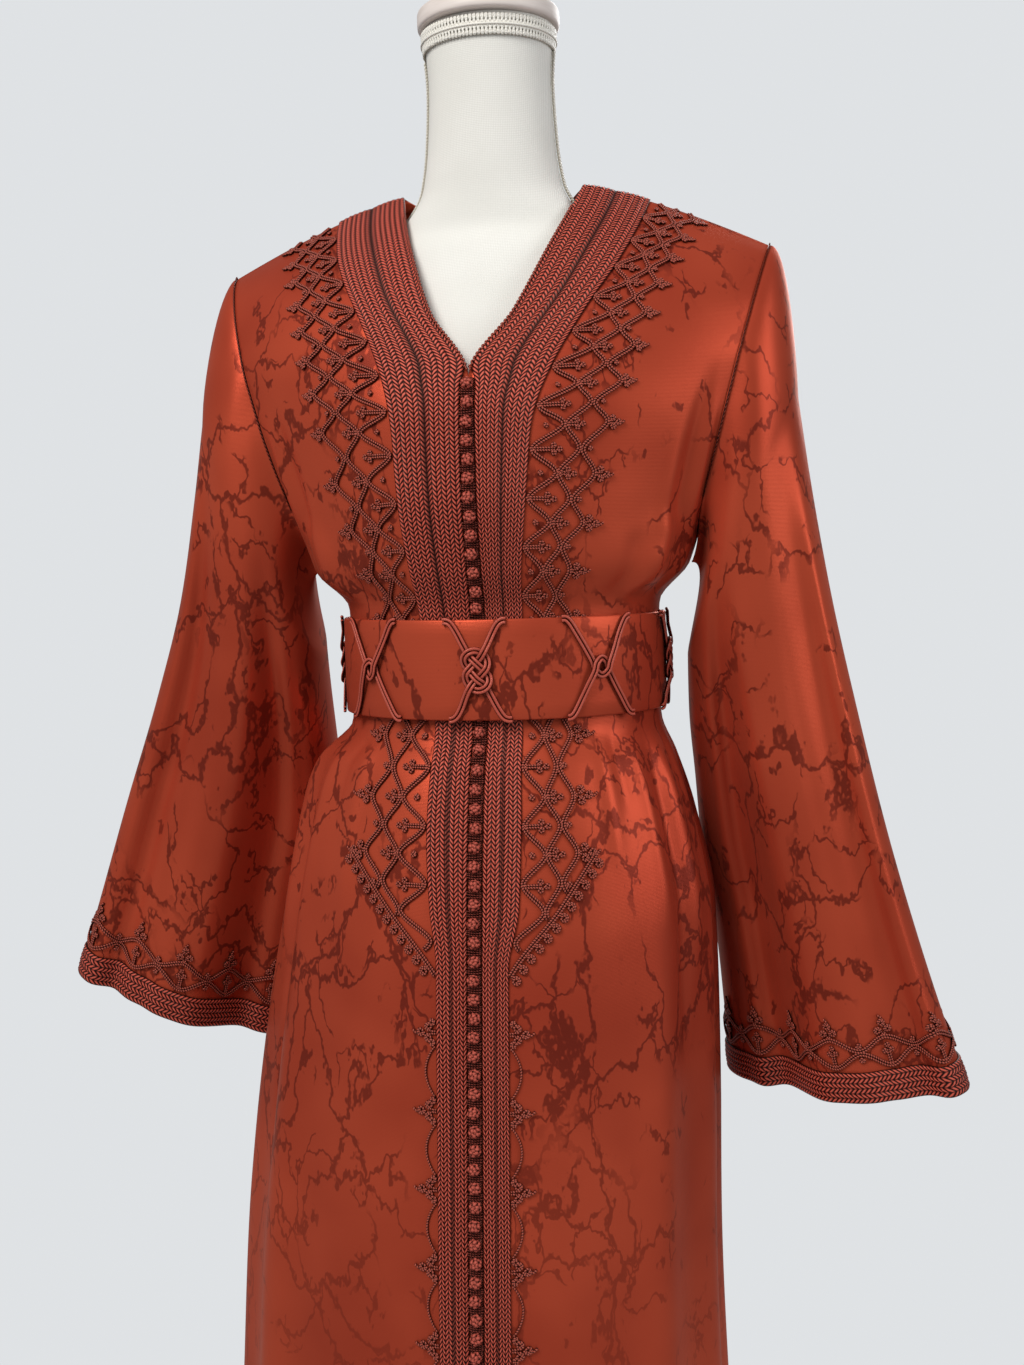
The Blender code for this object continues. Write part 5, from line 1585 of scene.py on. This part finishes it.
points, places, faces, core_points, core_all = [], [], [], [], []
for i, (at, out) in enumerate(zip(spot, lean)):
    upward = np.cross(out, beside)
    spin = i * SPIN_EACH
    first = beside * math.cos(spin) + upward * math.sin(spin)
    second = upward * math.cos(spin) - beside * math.sin(spin)
    drift = beside * BUTTON_DRIFT * math.sin(i * DRIFT_EACH)
    middle = at + out * (BUTTON_RAISE + (BUTTON_RADIUS + BUTTON_CORD) * BUTTON_FLAT) + drift
    frame_of = np.array((first, second, out * BUTTON_FLAT))
    faces.append(ball_faces + len(points) * ball.size // 3)
    points.append((ball.reshape(-1, 3) @ frame_of) + middle)
    places.append(ball_place.reshape(-1, 3) + np.array((0.0, i * STRAND_EACH, 0.0)))
    core_all.append(core_faces + i * len(core))
    core_points.append((core @ frame_of) + middle)
buttons = new_piece("knotted_buttons", np.concatenate(points), np.concatenate(faces).tolist(),
                    button_finish)
set_place(buttons, np.concatenate(places))
face_out(buttons)
cores = new_piece("button_cores", np.concatenate(core_points),
                  np.concatenate(core_all).tolist(), seam_finish)
set_place(cores, np.concatenate(core_points) * CORE_GRAIN)
face_out(cores)

# Button loops: fine cords laced across the strip between the buttons, sewn to
# the edge of each band.
LOOP_RADIUS = 0.00052
LOOP_HALF = 0.0054
LOOP_RUNGS = (0.0046, 0.0062, 0.0078)
LOOP_STEPS = 7
# Each rung slants a little in its own way, by its button and its place.
LOOP_SWAY = 0.0004
SWAY_EACH = 2.1
SWAY_BELOW = 900
LOOP_SAG = 0.0005
LOOP_RAISE = 0.0013
LOOP_ARCH = 0.0007
# The light colour is a painted highlight on each cord's top, the gap colour painted shade at its
# sides.
LOOP_LIGHT = (0.22, 0.040, 0.027)
LOOP_MID = (0.12, 0.020, 0.014)
loop_finish = braid_finish("loop_cord", LOOP_LIGHT, LOOP_MID, BRAID_GAP_SHADE, False)
runs = []
for i, level in enumerate(levels_at[:-1]):
    for lower in LOOP_RUNGS:
        way = np.linspace(-1.0, 1.0, LOOP_STEPS)
        sway = LOOP_SWAY * math.sin(i * SWAY_EACH + lower * SWAY_BELOW)
        rung = level - lower + sway * way + LOOP_SAG * way ** 2
        path, out = placket_spot(rung)
        lift = LOOP_RAISE + LOOP_ARCH * (1 - way ** 2)
        path = path + beside * (LOOP_HALF * way)[:, None] + out * lift[:, None]
        runs.append((path, out, LOOP_RADIUS))
loops = laid_cords("button_loops", runs, loop_finish)

# Belt: the same satin over a stiff band, one closed ring with softly rolled
# edges, that holds the gathers at the waist.
BELT_HALF_WIDTH = 0.1215
BELT_FRONT = 0.1045
BELT_ROUND = 220
BELT_PROFILE = (
    # height, lift of the outer face, lift of the inner face
    (-0.0350, -0.0010, -0.0012),
    (-0.0347, -0.0004, -0.0017),
    (-0.0338, 0.0000, -0.0020),
    (-0.0240, 0.0001, -0.0020),
    (-0.0120, 0.0002, -0.0020),
    (0.0000, 0.0002, -0.0020),
    (0.0120, 0.0002, -0.0020),
    (0.0240, 0.0001, -0.0020),
    (0.0338, 0.0000, -0.0020),
    (0.0347, -0.0004, -0.0017),
    (0.0350, -0.0010, -0.0012),
)


def belt_ring(angles, lift):
    """Points of the belt's outline in plan, moved out by lift."""
    deep = np.where(np.cos(angles) > 0, BELT_FRONT, BELT_BACK)
    spot = np.stack((BELT_HALF_WIDTH * np.sin(angles), -deep * np.cos(angles)), axis=-1)
    out = unit(np.stack((np.sin(angles) * deep, -np.cos(angles) * BELT_HALF_WIDTH), axis=-1))
    return spot + out * np.asarray(lift)[..., None], out


angles = np.linspace(0.0, 2 * math.pi, BELT_ROUND, endpoint=False)
outer, inner = [], []
for height, out_lift, in_lift in BELT_PROFILE:
    tall = np.full((BELT_ROUND, 1), height)
    outer.append(np.hstack((belt_ring(angles, np.full(BELT_ROUND, out_lift))[0], tall)))
    inner.append(np.hstack((belt_ring(angles, np.full(BELT_ROUND, in_lift))[0], tall)))
belt = wall("belt_satin", np.array(outer) + WAIST, np.array(inner) + WAIST, True, satin)
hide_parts("belt")

# Belt cords: paired glossy cords, looped from the belt's upper and lower
# edges, hooked through each other or tied in a flat knot, and sewn down.
HOOK_LOOP = (
    # along the belt, up, and how far it lies over the cord that it crosses
    (-0.0285, 0.0342, 0.0), (-0.0255, 0.0340, 0.0), (-0.0222, 0.0308, 0.0),
    (-0.0165, 0.0215, 0.0), (-0.0108, 0.0118, 0.0), (-0.0062, 0.0032, 0.0),
    (-0.0044, -0.0026, 0.1), (0.0000, -0.0060, 0.5), (0.0044, -0.0026, 0.9),
    (0.0062, 0.0032, 1.0), (0.0104, 0.0118, 0.6), (0.0150, 0.0215, 0.1),
    (0.0200, 0.0308, 0.0), (0.0232, 0.0340, 0.0), (0.0262, 0.0342, 0.0),
)
KNOT_LOOP = (
    (-0.0235, 0.0340, 0.0), (-0.0208, 0.0340, 0.0), (-0.0176, 0.0322, 0.0),
    (-0.0137, 0.0262, 0.0), (-0.0098, 0.0185, 0.0), (-0.0066, 0.0125, 0.0),
    (-0.0042, 0.0092, 0.2), (-0.0008, 0.0062, 1.0), (0.0030, 0.0022, 0.6),
    (0.0064, -0.0012, 0.0), (0.0086, -0.0048, 0.2), (0.0084, -0.0090, 0.8),
    (0.0056, -0.0124, 1.0), (0.0010, -0.0138, 0.6), (-0.0030, -0.0126, 0.2),
    (-0.0062, -0.0098, 0.0), (-0.0078, -0.0056, 0.3), (-0.0070, -0.0014, 0.9),
    (-0.0042, 0.0020, 0.7), (-0.0008, 0.0056, 0.0), (0.0024, 0.0084, 0.4),
    (0.0052, 0.0126, 1.0), (0.0084, 0.0190, 0.5), (0.0114, 0.0258, 0.0),
    (0.0146, 0.0314, 0.0), (0.0180, 0.0340, 0.0), (0.0215, 0.0342, 0.0),
)
MOTIFS = 8
BELT_CORD = 0.00128
BELT_PAIR = 0.00142
BELT_RAISE = 0.0026
BELT_CLEAR = 0.0002
BELT_CORD_STEP = 0.0011
# The light colour is a painted highlight along each cord's top, the gap colour painted shade at its
# sides.
BELT_CORD_LIGHT = (0.50, 0.096, 0.064)
BELT_CORD_MID = (0.21, 0.032, 0.021)
BELT_CORD_GAP_SHADE = (0.014, 0.002, 0.002)
BELT_CORD_TWIST = 0.12
BELT_CORD_ROUGH = 0.24
BELT_SAMPLES = 1441
MOTIF_SAMPLES = 400
table_angles = np.linspace(-math.pi, math.pi, BELT_SAMPLES)
table_along = run_length(belt_ring(table_angles, np.zeros(BELT_SAMPLES))[0])
girth = table_along[-1]


def rounded(values, count):
    """A flowing curve through points: a Catmull-Rom spline, evenly sampled."""
    values = np.asarray(values)
    ends = np.concatenate((2 * values[:1] - values[1:2], values, 2 * values[-1:] - values[-2:-1]))
    at = np.linspace(0.0, len(values) - 1, count)
    i = np.minimum(at.astype(int), len(values) - 2)
    t = (at - i)[:, None]
    p0, p1, p2, p3 = ends[i], ends[i + 1], ends[i + 2], ends[i + 3]
    return 0.5 * (2 * p1 + (p2 - p0) * t + (2 * p0 - 5 * p1 + 4 * p2 - p3) * t ** 2
                  + (3 * p1 - p0 - 3 * p2 + p3) * t ** 3)


def belt_place(along, up, lift):
    """A place on the belt, found along its middle from the centre front."""
    spot = (along + girth / 2) % girth
    angle = np.interp(spot, table_along, table_angles)
    plan, out = belt_ring(angle, lift)
    points = np.concatenate((plan, up[:, None]), axis=1) + WAIST
    return points, np.concatenate((out, np.zeros((len(up), 1))), axis=1)


glossy = braid_finish("belt_cord", BELT_CORD_LIGHT, BELT_CORD_MID, BELT_CORD_GAP_SHADE, False,
                      BELT_CORD_TWIST)
gloss_shader = glossy.node_tree.nodes["Principled BSDF"]
gloss_shader.inputs["Roughness"].default_value = BELT_CORD_ROUGH
for i in range(MOTIFS):
    kind, loop = ("knot", KNOT_LOOP) if i % 2 == 0 else ("hook", HOOK_LOOP)
    for way, end in ((1.0, "above"), (-1.0, "below")):
        flat = rounded(loop, MOTIF_SAMPLES)
        steps = run_length(flat[:, :2])
        even = np.arange(0.0, steps[-1], BELT_CORD_STEP)
        flat = sampled(even, steps, flat)
        raised = np.clip(flat[:, 2], 0.0, 1.0) * BELT_RAISE
        path, out = belt_place(i / MOTIFS * girth + flat[:, 0] * way, flat[:, 1] * way,
                               raised + BELT_CLEAR)
        runs = pair_of(path, out, BELT_CORD, BELT_PAIR)
        title = "belt_" + kind + "_" + str(i + 1) + "_" + end
        piece = laid_cords(title + "_cords", runs, glossy)
        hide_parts(title)

# Dress form: a padded body without arms, covered in off-white linen, smooth
# and whole under the kaftan, with a gimp braid round the top of its neck.
FORM_COLUMNS = ("level", "half_wide", "front", "back", "power")
FORM = (
    (-0.300, 0.1180, 0.0880, 0.0920, 2.2),
    (-0.240, 0.1240, 0.0960, 0.1000, 2.2),
    (-0.160, 0.1230, 0.1000, 0.1040, 2.2),
    (-0.090, 0.1140, 0.0920, 0.0940, 2.1),
    (-0.045, 0.1060, 0.0850, 0.0810, 2.0),
    (0.000, 0.1040, 0.0830, 0.0780, 2.0),
    (0.045, 0.1060, 0.0860, 0.0800, 2.0),
    (0.100, 0.1180, 0.0960, 0.0880, 2.0),
    (0.150, 0.1270, 0.1020, 0.0940, 2.0),
    (0.200, 0.1340, 0.0960, 0.0950, 2.0),
    (0.240, 0.1400, 0.0800, 0.0860, 1.9),
    (0.270, 0.1460, 0.0640, 0.0740, 1.8),
    (0.288, 0.1420, 0.0560, 0.0680, 1.6),
    (0.302, 0.1175, 0.0495, 0.0605, 1.6),
    (0.315, 0.0820, 0.0421, 0.0525, 1.8),
    (0.330, 0.0628, 0.0403, 0.0452, 2.0),
    (0.350, 0.0515, 0.0395, 0.0400, 2.0),
    (0.380, 0.0470, 0.0400, 0.0405, 2.0),
    (0.420, 0.0450, 0.0420, 0.0420, 2.0),
    (0.460, 0.0480, 0.0450, 0.0450, 2.0),
)
FORM_ROUND = 96
SHRUNK = 0.985
SHRUNK_TOP = 0.335
SHRUNK_EASE = 0.02
FORM_FOOT = -0.300
FORM_FINE_FROM = 0.24
FORM_NECK_TOP = 0.460
FORM_STEP = 0.012
FORM_FINE_STEP = 0.005
FOOT_RINGS = (
    # share of the lowest ring, height above it: a rounded lower edge
    (0.55, 0.0),
    (0.90, 0.0),
    (0.98, 0.0015),
)
LINEN = (0.90, 0.885, 0.83)
LINEN_GREY = (0.86, 0.845, 0.79)
LINEN_PALE = (0.93, 0.915, 0.865)
LINEN_GAP = (0.80, 0.785, 0.73)
LINEN_ROUGH = 0.85
LINEN_THREADS = 260.0
LINEN_WAVER = 1.2
LINEN_CLOUDS = (0.3, 0.7)
LINEN_HOLE = 0.35
LINEN_BUMP = 0.30
LINEN_DEEP = 0.0005


def form_spot(turn, level):
    """A place on the dress form; turn runs round it from the wearer's left."""
    turn, level = np.broadcast_arrays(turn, level)
    value = {name: smooth(column(FORM, FORM_COLUMNS, "level"),
                          column(FORM, FORM_COLUMNS, name), level) for name in FORM_COLUMNS[1:]}
    c, s = np.cos(turn), np.sin(turn)
    deep = np.where(s > 0, value["back"], value["front"])
    slim = SHRUNK + (1 - SHRUNK) * ease((level - SHRUNK_TOP) / SHRUNK_EASE)
    x = value["half_wide"] * np.sign(c) * np.abs(c) ** (2 / value["power"]) * slim
    y = deep * np.sign(s) * np.abs(s) ** (2 / value["power"]) * slim
    return np.stack((x, y, level), axis=-1) + WAIST


linen, shader = plain_finish("form_linen", LINEN, LINEN_ROUGH)
tree = linen.node_tree
where = node(tree, "ShaderNodeTexCoord").outputs["Object"]
warp = node(tree, "ShaderNodeTexWave", bands_direction="X")
weft = node(tree, "ShaderNodeTexWave", bands_direction="Z")
for threads in (warp, weft):
    threads.inputs["Scale"].default_value = LINEN_THREADS
    threads.inputs["Distortion"].default_value = LINEN_WAVER
    threads.inputs["Detail Scale"].default_value = 2.0
    link(tree, where, threads.inputs["Vector"])
woven = math_node(tree, "MULTIPLY", warp.outputs["Fac"], weft.outputs["Fac"])
clouds = cloudy_noise(tree, where, Scale=22.0, Detail=6.0)
shade = blend_colours(tree, ramp_node(tree, clouds.outputs["Fac"], *LINEN_CLOUDS),
                      LINEN_GREY, LINEN_PALE)
link(tree, blend_colours(tree, ramp_node(tree, woven, 0.0, LINEN_HOLE), LINEN_GAP, shade),
     shader.inputs["Base Color"])
raise_grain(tree, woven, shader, LINEN_BUMP, LINEN_DEEP)

turns = np.linspace(0.0, 2 * math.pi, FORM_ROUND, endpoint=False)
rows = np.concatenate((np.arange(FORM_FOOT, FORM_FINE_FROM, FORM_STEP),
                       np.arange(FORM_FINE_FROM, FORM_NECK_TOP - FORM_FINE_STEP / 2,
                                 FORM_FINE_STEP),
                       (FORM_NECK_TOP,)))
body = form_spot(turns[None, :], rows[:, None])
lowest = body[0, 0, 2]
axis_foot = np.array((WAIST[0], WAIST[1], lowest))
foot = [axis_foot + (body[0] - axis_foot) * share + (0.0, 0.0, rise)
        for share, rise in FOOT_RINGS]
body = np.concatenate((np.array(foot), body[1:]))
count = len(body)
faces = grid_faces(count, FORM_ROUND, True).tolist()
faces.append(list(range(FORM_ROUND))[::-1])
faces.append(list(range((count - 1) * FORM_ROUND, count * FORM_ROUND)))
torso = new_piece("form_torso_linen", body.reshape(-1, 3), faces, linen)
face_out(torso)
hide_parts("form_torso")

# Neck gimp: two cream cords looped over each other round the top of the neck,
# a straight cord sewn over their middle, and a beaded pair down each side.
GIMP_LOW = 0.4425
GIMP_HIGH = 0.4588
GIMP_LOOPS = 54
GIMP_RADIUS = 0.00105
GIMP_START = 0.02
GIMP_STEPS = 16
GIMP_BACK = 0.026
GIMP_INSET = 0.0014
GIMP_OVER = 0.0008
BEADED_PITCH = 0.0046
BEADED_FOOT = 0.322
BEADED_STEPS = 240
BEADED_SWAY = 0.0011
BEADED_LIFT = 0.0004
BEADED_RADIUS = 0.0010
# The light cream is a painted highlight on each cord's top and twist, the gap cream painted shade
# at its sides.
GIMP_LIGHT = (0.93, 0.91, 0.84)
GIMP_MID = (0.86, 0.83, 0.75)
GIMP_GAP_SHADE = (0.52, 0.49, 0.41)
GIMP_TWIST = 0.35
gimp_finish = braid_finish("form_gimp", GIMP_LIGHT, GIMP_MID, GIMP_GAP_SHADE, False, GIMP_TWIST)
runs = []


def on_form(turn, level):
    """A place on the form's neck and its outward direction."""
    spot = form_spot(turn, level)
    beside_it = form_spot(turn + SLOPE_ACROSS, level) - form_spot(turn - SLOPE_ACROSS, level)
    lower = np.minimum(level, FORM_NECK_TOP - 2 * SLOPE_LEVEL) - SLOPE_LEVEL
    above_it = form_spot(turn, level + SLOPE_LEVEL) - form_spot(turn, lower)
    return spot, unit(np.cross(beside_it, above_it))


turn = np.linspace(GIMP_START, 2 * math.pi + GIMP_START, GIMP_LOOPS * GIMP_STEPS + 1)
middle_level, half = (GIMP_LOW + GIMP_HIGH) / 2, (GIMP_HIGH - GIMP_LOW) / 2
for lag in (0.0, math.pi):
    looped = turn + GIMP_BACK * np.sin(2 * GIMP_LOOPS * turn + 2 * lag)
    wave = middle_level + (half - GIMP_INSET) * np.sin(GIMP_LOOPS * turn + lag)
    path, out = on_form(looped, wave)
    runs.append((path, out, GIMP_RADIUS))
path, out = on_form(turn[::3], np.full(len(turn[::3]), middle_level))
runs.append((path + out * GIMP_OVER, out, GIMP_RADIUS))
for angle in (0.0, math.pi):
    level = np.linspace(GIMP_LOW, BEADED_FOOT, BEADED_STEPS)
    path, out = on_form(np.full(BEADED_STEPS, angle), level)
    bead = run_length(path) / BEADED_PITCH * 2 * math.pi
    for lag in (0.0, math.pi):
        sway = np.zeros((BEADED_STEPS, 3))
        sway[:, 1] = BEADED_SWAY * np.sin(bead + lag)
        lift = BEADED_LIFT * (1 + np.cos(bead + lag))
        runs.append((path + sway + out * lift[:, None], out, BEADED_RADIUS))
gimp = laid_cords("form_gimp_braid", runs, gimp_finish)

# Cap, pole and base: a turned and painted wooden cap on the neck, and a
# painted steel pole and disc below, each spun from its own outline.
SPIN_STEPS = 96
CAP_PROFILE = (
    (0.0000, 0.5015), (0.0200, 0.5015), (0.0300, 0.5013), (0.0325, 0.5008), (0.0340, 0.4998),
    (0.0348, 0.4984), (0.0350, 0.4965), (0.0350, 0.4790), (0.0349, 0.4752), (0.0356, 0.4741),
    (0.0372, 0.4737), (0.0480, 0.4735), (0.0504, 0.4731), (0.0516, 0.4722), (0.0520, 0.4708),
    (0.0520, 0.4640), (0.0518, 0.4622), (0.0512, 0.4611), (0.0500, 0.4606), (0.0400, 0.4605),
    (0.0000, 0.4605),
)
BASE_PROFILE = (
    (0.0000, 0.0220), (0.0450, 0.0220), (0.1200, 0.0219), (0.1680, 0.0217), (0.1750, 0.0214),
    (0.1790, 0.0205), (0.1820, 0.0190), (0.1840, 0.0168), (0.1849, 0.0140), (0.1850, 0.0100),
    (0.1850, 0.0012), (0.1846, 0.0004), (0.1835, 0.0000), (0.0000, 0.0000),
)
POLE_PROFILE = (
    (0.0000, 0.7595), (0.0110, 0.7595), (0.0121, 0.7592), (0.0125, 0.7580), (0.0125, 0.6800),
    (0.0125, 0.4500), (0.0125, 0.2500), (0.0125, 0.0420), (0.0125, 0.0235), (0.0125, 0.0223),
    (0.0000, 0.0223),
)


BRUSH_LONG = 9.0
BRUSH_EDGE = (0.35, 0.62)
PAINT_DULLER = 0.10
PAINT_SHINIER = 0.06
PAINT_BUMP = 0.12
PAINT_DEEP = 0.0004


def paint_finish(name, light, dark, rough, grain_size):
    """Brushed paint with faint brush marks and small dull patches."""
    made, shader = plain_finish(name, light, rough)
    tree = made.node_tree
    where = node(tree, "ShaderNodeTexCoord").outputs["Object"]
    drawn = node(tree, "ShaderNodeMapping")
    drawn.inputs["Scale"].default_value = (1.0, 1.0, BRUSH_LONG)
    link(tree, where, drawn.inputs["Vector"])
    brushed = cloudy_noise(tree, drawn.outputs[0], Scale=grain_size, Detail=6.0)
    link(tree, blend_colours(tree, ramp_node(tree, brushed.outputs["Fac"], *BRUSH_EDGE),
                             dark, light), shader.inputs["Base Color"])
    gloss_range(tree, brushed.outputs["Fac"], shader, rough + PAINT_DULLER, rough - PAINT_SHINIER)
    raise_grain(tree, brushed.outputs["Fac"], shader, PAINT_BUMP, PAINT_DEEP)
    return made


def turned_piece(name, profile, foot, finish):
    """A body spun from an outline that starts and ends on its axis."""
    turns = np.linspace(0.0, 2 * math.pi, SPIN_STEPS, endpoint=False)
    rings = np.array([[(radius * math.cos(t), radius * math.sin(t), height + foot)
                       for t in turns] for radius, height in profile[1:-1]])
    rings += np.array((WAIST[0], WAIST[1], 0.0))
    count = len(rings)
    faces = grid_faces(count, SPIN_STEPS, True).tolist()
    points = rings.reshape(-1, 3)
    top = np.array((WAIST[0], WAIST[1], profile[0][1] + foot))
    low = np.array((WAIST[0], WAIST[1], profile[-1][1] + foot))
    base = len(points)
    points = np.concatenate((points, (top, low)))
    last = (count - 1) * SPIN_STEPS
    for j in range(SPIN_STEPS):
        k = (j + 1) % SPIN_STEPS
        faces.append([k, j, base])
        faces.append([last + j, last + k, base + 1])
    piece = new_piece(name, points, faces, finish)
    face_out(piece)
    return piece


CAP_PINK = (0.84, 0.75, 0.70)
CAP_WORN = (0.76, 0.67, 0.62)
CAP_ROUGH = 0.38
CAP_GRAIN = 30.0
STAND_WHITE = (0.78, 0.77, 0.75)
STAND_WORN = (0.70, 0.69, 0.67)
STAND_ROUGH = 0.40
STAND_GRAIN = 24.0
cap_paint = paint_finish("cap_paint", CAP_PINK, CAP_WORN, CAP_ROUGH, CAP_GRAIN)
stand_paint = paint_finish("stand_paint", STAND_WHITE, STAND_WORN, STAND_ROUGH, STAND_GRAIN)
for name, profile, foot, finish, slot in (
        ("form_cap", CAP_PROFILE, float(WAIST[2]), cap_paint, "cap_paint"),
        ("form_pole", POLE_PROFILE, 0.0, stand_paint, "stand_paint"),
        ("form_base", BASE_PROFILE, 0.0, stand_paint, "stand_paint")):
    piece = turned_piece(name + "_turned", profile, foot, finish)
    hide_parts(name)

# Neck edge: a thin cord couched in small scallops along the inner edge of the
# neck braid, from the top button up to the back of the neck.
SCALLOP = 0.0034
SCALLOP_DEEP = 0.0007
SCALLOP_RAISE = 0.0012
SCALLOP_CORD = 0.00085
NECK_EDGE_LOW = V_LEVEL + 0.004
NECK_EDGE_HIGH = 0.3255
NECK_EDGE_SAMPLES = 900
SCALLOP_STEPS = 6
for side, title in SIDES:
    level = np.linspace(NECK_EDGE_LOW, NECK_EDGE_HIGH, NECK_EDGE_SAMPLES)
    path, out = on_front(side, np.full(len(level), CORD_CLEAR), level)
    path, out = even_path(path, out, SCALLOP / SCALLOP_STEPS)
    aside = unit(np.cross(np.gradient(path, axis=0), out))
    run = run_length(path)
    path = path + aside * (SCALLOP_DEEP * np.sin(run / SCALLOP * 2 * math.pi))[:, None]
    path = path + out * SCALLOP_RAISE
    picot = laid_cords("neck_edge_cord_" + title, [(path, out, SCALLOP_CORD)], cord_finish)
